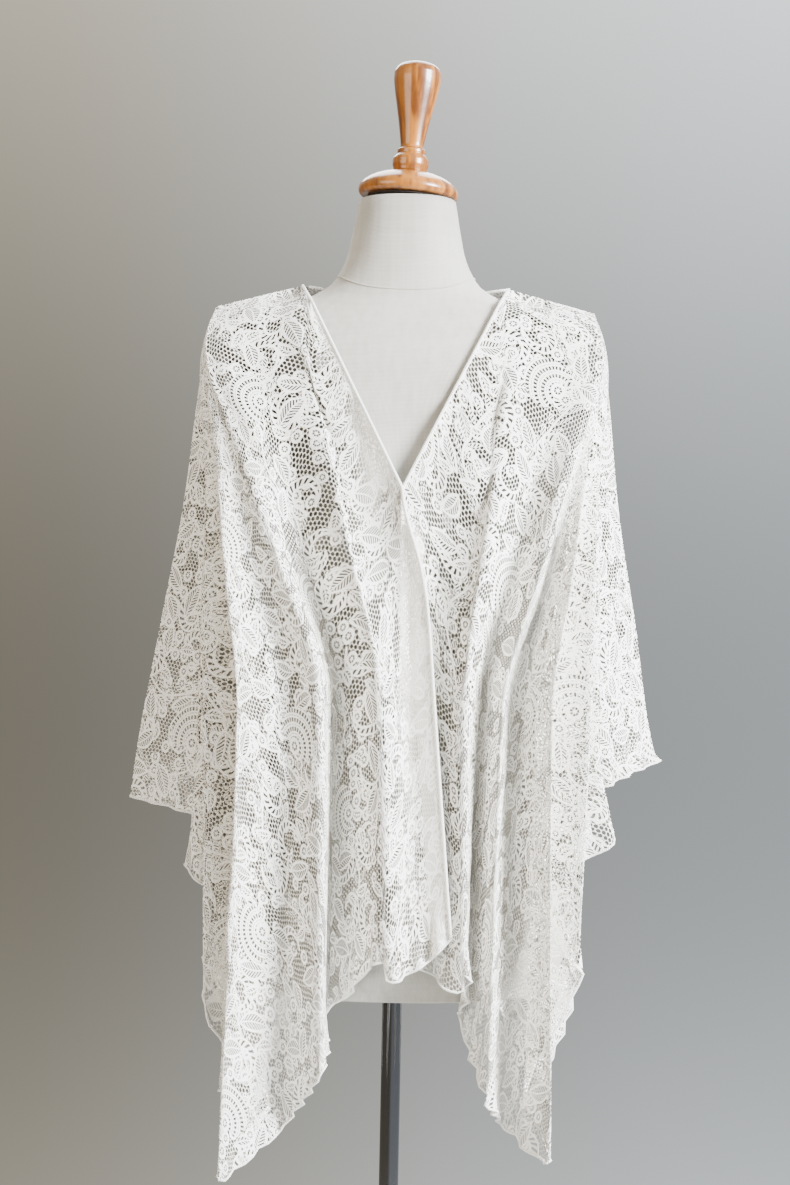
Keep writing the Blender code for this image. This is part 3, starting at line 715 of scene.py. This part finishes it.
def close_group(tree, outputs):
    """Gives the group its outputs, each joined to its field."""
    for label in outputs:
        tree.interface.new_socket(name=label, in_out="OUTPUT", socket_type="NodeSocketFloat")
    leave = tree.nodes.new("NodeGroupOutput")
    for label, field in outputs.items():
        tree.links.new(field.socket, leave.inputs[label])
    return tree


def scattered(tree, x, y, spacing, randomness):
    """The nearest of a scatter of places: distances from it in x and y, and two random numbers for it."""
    join = tree.nodes.new("ShaderNodeCombineXYZ")
    tree.links.new(x.socket, join.inputs[0])
    tree.links.new(y.socket, join.inputs[1])
    cells = tree.nodes.new("ShaderNodeTexVoronoi")
    cells.voronoi_dimensions = "2D"
    cells.feature = "F1"
    cells.inputs["Scale"].default_value = 1 / spacing
    cells.inputs["Randomness"].default_value = randomness
    tree.links.new(join.outputs[0], cells.inputs["Vector"])
    middle = tree.nodes.new("ShaderNodeSeparateXYZ")
    tree.links.new(cells.outputs["Position"], middle.inputs[0])
    chance = tree.nodes.new("ShaderNodeSeparateColor")
    tree.links.new(cells.outputs["Color"], chance.inputs[0])
    return (
        x - Field(tree, middle.outputs[0]),
        y - Field(tree, middle.outputs[1]),
        Field(tree, chance.outputs[0]),
        Field(tree, chance.outputs[1]),
    )


def turned(x, y, angle):
    """The same place in axes turned by this angle."""
    cosine = angle.cosine()
    sine = angle.sine()
    return x * cosine + y * sine, y * cosine - x * sine


def distance(x, y):
    return (x * x + y * y).work("SQRT")


def make_net_group():
    """Honeycomb net: how much thread lies at a place given in millimetres."""
    tree, fields = new_group("lace_net", {"Across": 0.0, "Down": 0.0, "Mesh Size": 4.2})
    sway = (fields["Across"] * 0.31).sine() * 0.5 + (fields["Across"] * 0.037).sine() * 3.0
    x = fields["Across"] + (fields["Down"] * 0.27).sine() * 0.5 + (fields["Down"] * 0.043).sine() * 3.0
    y = (fields["Down"] + sway) * 0.80
    turn = fields["Mesh Size"].work("POWER", -1.0) * (4 * math.pi / math.sqrt(3))
    first = (x * turn).cosine()
    second = ((y * (math.sqrt(3) / 2) - x * 0.5) * turn).cosine()
    third = ((y * (math.sqrt(3) / 2) + x * 0.5) * turn).cosine()
    return close_group(tree, {"Thread": (first + second + third).falling(-1.02, -0.57)})


def make_leaf_group():
    """One leaf about a middle: its area, how much thread lies in it, and its outline and midrib."""
    tree, fields = new_group(
        "lace_leaf", {"Along": 0.0, "Aside": 0.0, "Half Length": 16.0, "Half Width": 8.0}
    )
    share = fields["Along"] / fields["Half Length"]
    bow = share * share * 3.0
    aside = (fields["Aside"] + bow - 1.0).away()
    width = (share * share).work("MULTIPLY_ADD", -1.0, 1.0) * fields["Half Width"]
    inward = width - aside
    area = inward.rising(-1.5, -1.1)
    outline = inward.away().falling(1.2, 1.6).larger(aside.falling(0.6, 0.9))
    ribs = ((aside * 0.9 - fields["Along"]) * (2 * math.pi / 3.6)).cosine().rising(-0.15, 0.2)
    return close_group(tree, {"Area": area, "Thread": outline.larger(ribs), "Outline": outline})


def make_flower_group():
    """A small ring flower about a middle: a bold ring, an open ring crossed by bars, and a dot."""
    tree, fields = new_group("lace_ring_flower", {"Across": 0.0, "Down": 0.0, "Radius": 7.0})
    out = distance(fields["Across"], fields["Down"]) / fields["Radius"]
    angle = fields["Down"].work("ARCTAN2", fields["Across"])
    scallop = (angle * 9.0).cosine() * 0.035
    area = (out + scallop).falling(0.98, 1.04)
    ring = (area * out.rising(0.50, 0.56)).larger(out.falling(0.22, 0.28))
    bars = (angle * 7.0).cosine().rising(0.45, 0.75)
    return close_group(tree, {"Area": area, "Thread": ring.larger(bars), "Ring": ring})


def make_arc_group():
    """A fan of rounded bands with rows of square holes between them, about a middle."""
    tree, fields = new_group("lace_banded_arcs", {"Across": 0.0, "Down": 0.0, "Reach": 39.0, "Band": 8.6})
    angle = fields["Down"].work("ARCTAN2", fields["Across"])
    out = distance(fields["Across"], fields["Down"])
    number = (out + angle * 1.1) / fields["Band"]
    within = number.repeat(1.0).away() * fields["Band"]
    slit = (within - fields["Band"] * 0.5).away().rising(0.25, 0.6) * 0.6 + 0.4
    band = within.rising(1.75, 2.1) * slit
    count = (number + 0.5).work("FLOOR")
    bars = (angle * (count * 13.0 + 1.0)).cosine().rising(0.05, 0.35)
    swell = (angle - 0.35).away()
    rim = fields["Reach"] - swell * swell * 7.0
    area = (out - rim).falling(-0.3, 0.1) * out.rising(7.6, 8.0) * swell.falling(1.62, 1.70)
    return close_group(tree, {"Area": area, "Thread": band.larger(bars), "Band Line": band})


def make_curl_group():
    """A curling stem with a feathered crescent along its outer side, about a middle."""
    tree, fields = new_group("lace_feathered_curl", {"Across": 0.0, "Down": 0.0, "Radius": 13.0})
    angle = fields["Down"].work("ARCTAN2", fields["Across"])
    past = distance(fields["Across"], fields["Down"]) + angle * 2.3 - fields["Radius"]
    swell = angle / 2.7
    fringe = (swell * swell).work("MULTIPLY_ADD", -8.5, 8.5)
    rim = (past - fringe).away().falling(0.9, 1.3) * fringe.rising(0.0, 0.4)
    stem = (past.away().falling(1.2, 1.6) * angle.away().falling(2.9, 3.0)).larger(rim)
    feather = past.rising(-0.2, 0.2) * (fringe - past).rising(-0.2, 0.2)
    barbs = (angle * 17.0 + past * 0.45).cosine().rising(-0.35, 0.0)
    thread = stem.larger(barbs * feather)
    return close_group(tree, {"Area": stem.larger(feather), "Thread": thread, "Stem": stem})


def make_stem_group():
    """Winding stems with pairs of small leaflets, at a given distance apart."""
    tree, fields = new_group("lace_stems", {"Across": 0.0, "Down": 0.0, "Apart": 82.0})
    wander = (fields["Down"] * (1 / 27.0)).sine() * 17.0 + (fields["Down"] * (1 / 11.3)).sine() * 2.5
    aside = (fields["Across"] - wander).work("WRAP", fields["Apart"] * 0.5, fields["Apart"] * -0.5)
    away = aside.away()
    stem = away.falling(1.2, 1.6)
    slope = (away - 1.0) * 0.85
    step = (fields["Down"] - slope).repeat(13.0)
    share = (away - 7.2) / 6.0
    fat = (share * share).work("MULTIPLY_ADD", -1.0, 1.0) * 3.3
    inward = fat - step.away()
    leaflet = inward.rising(-0.4, 0.2)
    rim = inward.away().falling(0.7, 1.0)
    thread = stem.larger(rim).larger((away * (2 * math.pi / 2.8)).cosine().rising(-0.2, 0.2) * leaflet)
    return close_group(tree, {"Area": stem.larger(leaflet), "Thread": thread})


def place_group(tree, group, **values):
    """Puts a group in the tree and joins its inputs, which are fields or plain numbers."""
    node = tree.nodes.new("ShaderNodeGroup")
    node.node_tree = group
    for label, value in values.items():
        socket = node.inputs[label.replace("_", " ")]
        if isinstance(value, Field):
            tree.links.new(value.socket, socket)
        else:
            socket.default_value = value
    return {output.name: Field(tree, output) for output in node.outputs}


def lay_over(lace, area, cover, raised):
    """The lace so far, as cover, raised and figure, with one more figure laid over it inside its area."""
    figure = lace["figure"].larger(area) if "figure" in lace else area
    return {
        "cover": lace["cover"].blend(cover, area),
        "raised": lace["raised"].blend(raised, area),
        "figure": figure,
    }


# The two sizes of leaf, in millimetres: how their scatter is shifted and spaced, how large the smallest are,
# how much longer and wider the largest are, and the share of places left without a leaf.
Leaves = collections.namedtuple("Leaves", "across down spacing scatter length longer width wider bare")
LEAVES = (
    Leaves(-9.0, 41.0, 27.0, 0.75, 8.5, 3.0, 3.8, 1.5, 0.42),
    Leaves(3.0, -17.0, 43.0, 0.62, 14.0, 5.0, 6.5, 2.5, 0.24),
)
FLOWER_SPACING = 15.5
CURL_SPACING = 61.0
ARC_COLUMN = 158.0
ARC_ROW = 206.0
ARC_DROP = 93.0
TURNED_IN = 0.031


def make_lace_group():
    """The whole lace: net, ring flowers, stems, curls, leaves and banded arcs laid over one another."""
    tree, fields = new_group("lace_pattern", {"Across": 0.0, "Down": 0.0})
    x = fields["Across"] * 1000.0
    y = fields["Down"] * 1000.0
    net = place_group(tree, make_net_group(), Across=x, Down=y, Mesh_Size=4.2)
    lace = {"cover": net["Thread"], "raised": net["Thread"] * 0.25}

    flowers = make_flower_group()
    dx, dy, chance, _ = scattered(tree, x + 11.0, y + 5.0, FLOWER_SPACING, 0.60)
    flower = place_group(tree, flowers, Across=dx, Down=dy, Radius=chance * 2.4 + 5.0)
    area = flower["Area"] * chance.rising(0.42, 0.44)
    lace = lay_over(lace, area, flower["Thread"], flower["Ring"] * 0.8 + 0.15)

    stems = place_group(tree, make_stem_group(), Across=x, Down=y, Apart=82.0)
    lace = lay_over(lace, stems["Area"], stems["Thread"], stems["Thread"] * 0.8)

    dx, dy, chance, size = scattered(tree, x + 31.0, y + 23.0, CURL_SPACING, 0.70)
    along, aside = turned(dx, dy, chance * (2 * math.pi))
    curl = place_group(tree, make_curl_group(), Across=along, Down=aside, Radius=size * 4.0 + 10.0)
    lace = lay_over(lace, curl["Area"], curl["Thread"], curl["Stem"] * 0.6 + curl["Thread"] * 0.4)

    leaves = make_leaf_group()
    for kind in LEAVES:
        dx, dy, chance, size = scattered(tree, x + kind.across, y + kind.down, kind.spacing, kind.scatter)
        along, aside = turned(dx, dy, chance * (2 * math.pi))
        half_length = size * kind.longer + kind.length
        half_width = size * kind.wider + kind.width
        leaf = place_group(
            tree, leaves, Along=along, Aside=aside, Half_Length=half_length, Half_Width=half_width
        )
        area = leaf["Area"] * size.rising(kind.bare, kind.bare + 0.02)
        lace = lay_over(lace, area, leaf["Thread"], leaf["Outline"] * 0.7 + leaf["Thread"] * 0.3)

    column = (x / ARC_COLUMN + 0.5).work("FLOOR")
    facing = (column * math.pi).cosine()
    arc_x = x.repeat(ARC_COLUMN) * facing
    arc_y = (y + column * ARC_DROP + 40.0).repeat(ARC_ROW)
    arc = place_group(tree, make_arc_group(), Across=arc_x, Down=arc_y, Reach=39.0, Band=8.6)
    lace = lay_over(lace, arc["Area"], arc["Thread"], arc["Band Line"] * 0.8 + 0.1)
    heart = place_group(tree, flowers, Across=arc_x, Down=arc_y, Radius=8.2)
    lace = lay_over(lace, heart["Area"], heart["Thread"], heart["Ring"] * 0.9)

    # The lace is double where the fronts' edges are turned in.
    beside_edge = fields["Across"].away().falling(TURNED_IN - 0.003, TURNED_IN + 0.003)
    below_hook = fields["Down"].falling(-0.345, -0.325)
    double = lace["cover"] * 0.25 + 0.75
    cover = lace["cover"].blend(double, beside_edge * below_hook)
    return close_group(tree, {"Cover": cover, "Raised": lace["raised"], "Figure": lace["figure"]})


# The pitch of the edges' stitches and of the linen's weave, and the radius at which the weave has that pitch.
STITCH = 0.0022
WEAVE = 0.0013
WEAVE_AROUND = 0.11


def new_material(name, colour, roughness, metallic=0.0):
    material = bpy.data.materials.new(name)
    material.use_nodes = True
    shader = material.node_tree.nodes["Principled BSDF"]
    shader.inputs["Base Color"].default_value = (*colour, 1.0)
    shader.inputs["Roughness"].default_value = roughness
    shader.inputs["Metallic"].default_value = metallic
    return material, material.node_tree, shader


def join_bump(tree, shader, height, distance_m, strength=1.0):
    bump = tree.nodes.new("ShaderNodeBump")
    bump.inputs["Strength"].default_value = strength
    bump.inputs["Distance"].default_value = distance_m
    tree.links.new(height.socket, bump.inputs["Height"])
    tree.links.new(bump.outputs["Normal"], shader.inputs["Normal"])


def join_colour(tree, target, low, high, share):
    """Colours the target socket low where the share is nought and high where it is one."""
    mix = tree.nodes.new("ShaderNodeMix")
    mix.data_type = "RGBA"
    mix.inputs["A"].default_value = (*low, 1.0)
    mix.inputs["B"].default_value = (*high, 1.0)
    tree.links.new(share.socket, mix.inputs["Factor"])
    tree.links.new(mix.outputs["Result"], target)


def noise_field(tree, vector, scale, detail=3.0, stretch=(1.0, 1.0, 1.0)):
    mapping = tree.nodes.new("ShaderNodeMapping")
    mapping.inputs["Scale"].default_value = stretch
    tree.links.new(vector, mapping.inputs["Vector"])
    noise = tree.nodes.new("ShaderNodeTexNoise")
    noise.inputs["Scale"].default_value = scale
    noise.inputs["Detail"].default_value = detail
    tree.links.new(mapping.outputs[0], noise.inputs["Vector"])
    return Field(tree, noise.outputs["Fac"])


def object_place(tree):
    return tree.nodes.new("ShaderNodeTexCoord").outputs["Object"]


def parts_of(tree, vector):
    """The three parts of a vector, as fields."""
    parts = tree.nodes.new("ShaderNodeSeparateXYZ")
    tree.links.new(vector, parts.inputs[0])
    return [Field(tree, part) for part in parts.outputs]


def uv_place(tree, map_name):
    """The first two parts of the piece's own UV map, as fields."""
    uv_map = tree.nodes.new("ShaderNodeUVMap")
    uv_map.uv_map = map_name
    return parts_of(tree, uv_map.outputs[0])[:2]


def make_lace_material():
    material, tree, shader = new_material("ivory_lace", (0.90, 0.88, 0.83), 0.78)
    across, down = uv_place(tree, "FlatCut")
    lace = place_group(tree, make_lace_group(), Across=across, Down=down)
    # Painted shade: the base colour darkens where the lace lies lower, as in a cavity, so the net's threads
    # are painted darker than the raised figures.
    tone = lace["Figure"] * 0.45 + lace["Raised"] * 0.55
    join_colour(tree, shader.inputs["Base Color"], (0.72, 0.68, 0.60), (0.97, 0.950, 0.90), tone)
    # A thread is as thick as the holes are wide, so slanting light and sight find the holes half shut.
    path = tree.nodes.new("ShaderNodeLightPath")
    slant = tree.nodes.new("ShaderNodeLayerWeight")
    slant.inputs["Blend"].default_value = 0.35
    edge_on = Field(tree, slant.outputs["Facing"]).rising(0.62, 1.0) * 0.6
    from_lamp = Field(tree, path.outputs["Is Shadow Ray"])
    shaded = from_lamp.larger(Field(tree, path.outputs["Is Diffuse Ray"])) * 0.90
    open_share = lace["Cover"].work("MULTIPLY_ADD", -1.0, 1.0)
    alpha = lace["Cover"] + open_share * edge_on.larger(shaded)
    tree.links.new(alpha.socket, shader.inputs["Alpha"])
    join_bump(tree, shader, lace["Raised"], 0.0006, 0.8)
    shader.inputs["Sheen Weight"].default_value = 0.15
    return material


def make_binding_material():
    material, tree, shader = new_material("ivory_binding", (0.93, 0.92, 0.88), 0.6)
    along, around = uv_place(tree, "AlongEdge")
    stitches = ((along + around * 0.7) * (2 * math.pi / STITCH)).sine() * 0.5 + 0.5
    join_colour(tree, shader.inputs["Base Color"], (0.84, 0.82, 0.77), (0.96, 0.95, 0.92), stitches)
    join_bump(tree, shader, stitches, 0.0004, 0.8)
    return material


def make_linen_material():
    material, tree, shader = new_material("linen", (0.56, 0.53, 0.48), 0.9)
    place = object_place(tree)
    x, y, z = parts_of(tree, place)
    around = y.work("ARCTAN2", x) * WEAVE_AROUND
    slub = noise_field(tree, place, 150.0, 3.0, (1.0, 1.0, 0.06))
    nub = noise_field(tree, place, 190.0, 3.0, (0.06, 0.06, 1.0))
    warp = (around * (2 * math.pi / WEAVE)).sine() * slub
    weft = (z * (2 * math.pi / WEAVE)).sine() * nub
    weave = (warp + weft) * 0.5 + 0.5
    mottle = noise_field(tree, place, 9.0, 4.0)
    tone = (weave * 0.25 + slub * 0.25 + nub * 0.10 + mottle * 0.40).rising(0.35, 0.65)
    join_colour(tree, shader.inputs["Base Color"], (0.37, 0.345, 0.30), (0.55, 0.525, 0.475), tone)
    join_bump(tree, shader, weave + slub * 0.4, 0.0005, 0.6)
    shader.inputs["Sheen Weight"].default_value = 0.1
    return material


def make_wood_material(name, light, dark, roughness, coat):
    material, tree, shader = new_material(name, light, roughness)
    place = object_place(tree)
    grain = noise_field(tree, place, 210.0, 5.0, (1.0, 1.0, 0.05))
    rings = noise_field(tree, place, 24.0, 3.0, (1.0, 1.0, 0.10))
    streaks = (rings * 42.0).sine() * 0.5 + 0.5
    tone = (streaks * 0.30 + grain * 0.90).rising(0.35, 0.85)
    join_colour(tree, shader.inputs["Base Color"], light, dark, tone)
    join_bump(tree, shader, grain, 0.0002, 0.25)
    shader.inputs["Coat Weight"].default_value = coat
    shader.inputs["Coat Roughness"].default_value = 0.08
    return material


def make_metal_material(name, colour, roughness, brushed):
    material, tree, shader = new_material(name, colour, roughness, 1.0)
    place = object_place(tree)
    scuffs = noise_field(tree, place, 60.0, 4.0, brushed)
    rough = scuffs * 0.10 + (roughness - 0.03)
    tree.links.new(rough.socket, shader.inputs["Roughness"])
    return material


def make_paint_material():
    material, tree, shader = new_material("painted_steel", (0.42, 0.42, 0.44), 0.4, 0.0)
    place = object_place(tree)
    peel = noise_field(tree, place, 420.0, 2.0)
    dust = noise_field(tree, place, 7.0, 4.0)
    join_colour(tree, shader.inputs["Base Color"], (0.38, 0.38, 0.40), (0.46, 0.46, 0.47), dust)
    tree.links.new((dust * 0.2 + 0.28).socket, shader.inputs["Roughness"])
    join_bump(tree, shader, peel, 0.0002, 0.2)
    return material


# --- the form, the cap and the stand ------------------------------------------------------------------


def make_form_skin(material):
    """The covered form, whole and smooth, with its lower rim softly turned in."""
    rim = 0.006
    rim_heights = FORM_BOTTOM_Z + np.array([0, 0.0008, 0.0024, rim])
    wall_heights = np.linspace(FORM_BOTTOM_Z + 2 * rim, NECK_TOP_Z, 118)
    heights = np.concatenate([rim_heights, wall_heights])
    shrink = np.concatenate([[0.974, 0.986, 0.995, 1.0], np.ones(len(wall_heights))])
    mesh = bmesh.new()
    rings = []
    for z, share in zip(heights, shrink):
        angles = np.arange(FORM_SIDES) * 2 * math.pi / FORM_SIDES
        ring = np.array([form_point(angle, max(z, FORM_BOTTOM_Z + rim)) for angle in angles])
        ring[:, :2] *= share
        ring[:, 2] = z
        rings.append([mesh.verts.new(point) for point in ring])
    for lower, upper in zip(rings, rings[1:]):
        for here in range(FORM_SIDES):
            there = (here + 1) % FORM_SIDES
            mesh.faces.new((lower[here], lower[there], upper[there], upper[here])).smooth = True
    mesh.faces.new(rings[0][::-1])
    mesh.faces.new(rings[-1])
    return new_piece("form_cover", mesh, material, ["dress_form"])


def turn_on_lathe(name, profile, material, replaces, lean=0.0, smooth=True):
    """Turns a profile of radius and height about the upright axis, top to bottom, and leans it as placed."""
    radii, heights = np.array(profile, float).T
    if smooth:
        run = np.concatenate([[0], np.cumsum(np.hypot(np.diff(radii), np.diff(heights)))])
        wanted = np.unique(np.concatenate([run, np.linspace(0, run[-1], 46)]))
        line = steady_through(run, np.column_stack([radii, heights]), wanted)
        radii, heights = line.T
    bpy.ops.object.select_all(action="DESELECT")
    bpy.ops.mesh.primitive_plane_add(size=0.01, location=(0, 0, 0))
    piece = bpy.context.object
    piece.name = name
    bpy.ops.object.mode_set(mode="EDIT")
    bpy.ops.mesh.select_all(action="SELECT")
    bpy.ops.mesh.merge(type="CENTER")
    bpy.ops.transform.translate(value=(float(radii[0]), 0, float(heights[0])))
    for out, up in zip(np.diff(radii), np.diff(heights)):
        step = {"value": (float(out), 0, float(up))}
        bpy.ops.mesh.extrude_vertices_move(TRANSFORM_OT_translate=step)
    bpy.ops.mesh.select_all(action="SELECT")
    bpy.ops.mesh.spin(steps=TURNED_STEPS, angle=2 * math.pi, center=(0, 0, 0), axis=(0, 0, 1))
    bpy.ops.mesh.select_all(action="SELECT")
    bpy.ops.mesh.remove_doubles(threshold=0.00002)
    bpy.ops.mesh.dissolve_degenerate(threshold=0.00001)
    bpy.ops.mesh.normals_make_consistent(inside=False)
    bpy.ops.object.mode_set(mode="OBJECT")
    bpy.ops.object.shade_smooth_by_angle(angle=math.radians(38))
    if lean:
        piece.data.transform(Matrix.Translation((0, 0, NECK_TOP_Z)) @ Matrix.Rotation(lean, 4, "Y"))
    return finish_piece(piece, material, replaces)


def make_neck_seam(material):
    """The sewn line where the neck joins the body of the form, dipping in front."""
    line = []
    for number in range(97):
        angle = number * 2 * math.pi / 96
        z = 1.392 - 0.018 * max(0.0, -math.sin(angle)) ** 2
        x, y, z = form_point(angle, z)
        line.append((x * 1.002, y * 1.002, z))
    return make_roll("neck_seam", line[:-1], 0.0009, material, 6)


def make_cap(wood, shadow):
    # The spacer is a dark disc standing for the painted shadow under the cap's overhang.
    spacer_top = CAP_RISE + SPACER_THICKNESS
    spacer = ((0, spacer_top), (0.041, spacer_top), (0.041, CAP_RISE), (0, CAP_RISE))
    turn_on_lathe("shadow_gap", spacer, shadow, ["cap_spacer"], CAP_TILT, smooth=False)
    z = spacer_top + TOUCH_GAP
    disc = (
        (0.0, z + 0.0260),
        (0.018, z + 0.0255),
        (0.030, z + 0.0230),
        (0.040, z + 0.0190),
        (0.0475, z + 0.0135),
        (0.0505, z + 0.0090),
        (CAP_RADIUS, z + 0.0060),
        (0.0500, z + 0.0025),
        (0.0470, z),
        (0.0, z),
    )
    turn_on_lathe("neck_cap", disc, wood, ["cap_disc"], CAP_TILT)
    z = disc[0][1] + TOUCH_GAP
    bead = (
        (0.0, z + 0.0240),
        (0.0125, z + 0.0240),
        (0.0145, z + 0.0225),
        (0.0145, z + 0.0202),
        (0.0140, z + 0.0186),
        (0.0165, z + 0.0162),
        (0.0185, z + 0.0120),
        (0.0185, z + 0.0080),
        (0.0172, z + 0.0035),
        (0.0160, z),
        (0.0, z),
    )
    turn_on_lathe("neck_bead", bead, wood, ["cap_bead"], CAP_TILT)
    z = bead[0][1] + TOUCH_GAP
    finial = (
        (0.0, z + 0.0875),
        (0.0110, z + 0.0871),
        (0.0185, z + 0.0848),
        (0.0222, z + 0.0812),
        (0.0240, z + 0.0765),
        (0.0240, z + 0.0715),
        (0.0226, z + 0.0610),
        (0.0190, z + 0.0430),
        (0.0150, z + 0.0230),
        (0.0122, z + 0.0060),
        (0.0118, z + 0.0030),
        (0.0124, z),
        (0.0, z),
    )
    turn_on_lathe("flared_finial", finial, wood, ["finial"], CAP_TILT)


def make_stand(chrome, paint):
    top = FORM_BOTTOM_Z - TOUCH_GAP
    foot = BASE_HEIGHT + TOUCH_GAP
    pole = ((0, top), (POLE_RADIUS, top), (POLE_RADIUS, foot), (0, foot))
    turn_on_lathe("chrome_pole", pole, chrome, ["pole"], smooth=False)
    bore = POLE_RADIUS + TOUCH_GAP
    collar_top = foot + COLLAR_HEIGHT
    rim = 0.002
    collar = (
        (bore, collar_top),
        (COLLAR_RADIUS - rim, collar_top),
        (COLLAR_RADIUS - 0.3 * rim, collar_top - 0.3 * rim),
        (COLLAR_RADIUS, collar_top - rim),
        (COLLAR_RADIUS, foot + 0.010),
        (COLLAR_RADIUS + 0.003, foot + 0.0055),
        (COLLAR_RADIUS + 0.010, foot + 0.003),
        (COLLAR_RADIUS + 0.010, foot),
        (bore, foot),
        (bore, collar_top),
    )
    turn_on_lathe("pole_collar", collar, chrome, ["base_collar"], smooth=False)
    base = (
        (0.0, BASE_HEIGHT),
        (0.060, BASE_HEIGHT),
        (0.120, BASE_HEIGHT - 0.0010),
        (BASE_RADIUS - 0.012, BASE_HEIGHT - 0.003),
        (BASE_RADIUS - 0.003, BASE_HEIGHT - 0.006),
        (BASE_RADIUS, BASE_HEIGHT - 0.010),
        (BASE_RADIUS, 0.002),
        (BASE_RADIUS - 0.002, 0.0),
        (0.0, 0.0),
    )
    turn_on_lathe("round_base", base, paint, ["base"], smooth=False)


# --- putting it together ------------------------------------------------------------------------------

lace = make_lace_material()
binding = make_binding_material()
linen = make_linen_material()
wood = make_wood_material("varnished_wood", (0.36, 0.125, 0.013), (0.11, 0.030, 0.004), 0.28, 0.40)
# A near-black material for the spacer under the cap: a painted shadow for the shade under the cap's overhang.
shadow = make_wood_material("dark_wood", (0.030, 0.019, 0.012), (0.018, 0.010, 0.006), 0.8, 0.0)
chrome = make_metal_material("chrome", (0.17, 0.17, 0.18), 0.08, (1.0, 1.0, 0.1))
wire = make_metal_material("hook_wire", (0.78, 0.76, 0.72), 0.28, (1.0, 1.0, 1.0))
paint = make_paint_material()

for name in ("hook", "eye"):
    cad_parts[name].data.materials.clear()
    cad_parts[name].data.materials.append(wire)

make_form_skin(linen)
make_neck_seam(linen)
make_cap(wood, shadow)
make_stand(chrome, paint)

Quarter = collections.namedtuple("Quarter", "name folds reach side in_front creases seed node")
QUARTERS = (
    Quarter("right_front_lace", RIGHT_FRONT, RIGHT_REACH, -1, True, RIGHT_FRONT_CREASES, 0.4, "right_front"),
    Quarter("left_front_lace", LEFT_FRONT, LEFT_REACH, 1, True, LEFT_FRONT_CREASES, 1.7, "left_front"),
    Quarter("right_back_lace", RIGHT_BACK, RIGHT_REACH, -1, False, BACK_CREASES, 2.9, "back"),
    Quarter("left_back_lace", LEFT_BACK, LEFT_REACH, 1, False, BACK_CREASES, 4.1, "back"),
)
grids = {}
for quarter in QUARTERS:
    points, flat = drape_quarter(
        quarter.folds, quarter.reach, quarter.side, quarter.in_front, quarter.creases, quarter.seed
    )
    grids[quarter.name] = points
    sheet = make_sheet(quarter.name, points, flat, quarter.in_front, lace, [quarter.node])
    hem = make_roll(quarter.name.replace("lace", "hem_roll"), points[-1], HEM_ROLL_RADIUS, binding)
    if quarter.in_front:
        last = NECK_POINT_FOLD * STRANDS
        edge = np.concatenate([points[0, last:0:-1], points[:, 0]])
        roll_name = quarter.name.replace("lace", "edge_roll")
        node = quarter.name.replace("_lace", "_binding")
        make_roll(roll_name, edge, ROLL_RADIUS, binding, replaces=[node])

back_line = []
for name, step in (("right_back_lace", -1), ("left_back_lace", 1)):
    row = grids[name][0]
    near = row[np.abs(row[:, 0]) <= NECK_HALF + 1e-4]
    back_line.append(near[::step] if step < 0 else near[1:])
make_roll("back_neck_roll", np.concatenate(back_line), ROLL_RADIUS, binding, replaces=["back_neck_binding"])

# --- the floor, the light and the camera ---------------------------------------------------------------

bpy.ops.object.select_all(action="DESELECT")
bpy.ops.mesh.primitive_circle_add(vertices=96, radius=1.35, fill_type="NGON", location=(0, 0, 0))
floor = bpy.context.object
floor.name = "floor"
floor.data.materials.append(new_material("pale_floor", (0.40, 0.40, 0.39), 0.85)[0])

world = bpy.data.worlds.new("studio")
bpy.context.scene.world = world
world.use_nodes = True
world_tree = world.node_tree
backdrop = world_tree.nodes["Background"]
direction = parts_of(world_tree, world_tree.nodes.new("ShaderNodeTexCoord").outputs["Generated"])
sideways = direction[0].rising(-0.24, 0.26)
upright = direction[2] + 0.08
join_colour(world_tree, backdrop.inputs["Color"], (0.195, 0.177, 0.140), (0.41, 0.44, 0.455), sideways)
world_tree.links.new(((upright * upright * 15.0).smaller(2.2) + 1.0).socket, backdrop.inputs["Strength"])

Lamp = collections.namedtuple("Lamp", "name place aim size power colour")
LAMPS = (
    Lamp("window", (2.1, -1.4, 1.9), (0.0, 0.0, 1.0), 1.1, 500.0, (0.92, 0.96, 1.0)),
    Lamp("room", (-1.9, -1.7, 1.5), (0.0, 0.0, 1.0), 1.6, 50.0, (1.0, 0.87, 0.71)),
    Lamp("behind", (-0.2, 1.8, 3.5), (0.0, 0.0, 1.0), 2.4, 200.0, (0.97, 0.98, 1.0)),
)
for lamp in LAMPS:
    data = bpy.data.lights.new(lamp.name, "AREA")
    data.size = lamp.size
    data.energy = lamp.power
    data.color = lamp.colour
    light = bpy.data.objects.new(lamp.name, data)
    light.location = lamp.place
    way = np.array(lamp.aim) - np.array(lamp.place)
    yaw = math.atan2(way[1], way[0]) - math.pi / 2
    pitch = math.atan2(way[2], math.hypot(way[0], way[1])) + math.pi / 2
    light.rotation_euler = (pitch, 0.0, yaw)
    bpy.context.scene.collection.objects.link(light)

lens = bpy.data.cameras.new("camera")
lens.lens = 56.6
lens.sensor_width = 36.0
camera = bpy.data.objects.new("camera", lens)
camera.matrix_world = (
    Matrix.Translation((-0.005, -1.9, 1.072))
    @ Matrix.Rotation(math.radians(90), 4, "X")
    @ Matrix.Rotation(math.radians(1.1), 4, "Z")
)
bpy.context.scene.collection.objects.link(camera)
bpy.context.scene.camera = camera
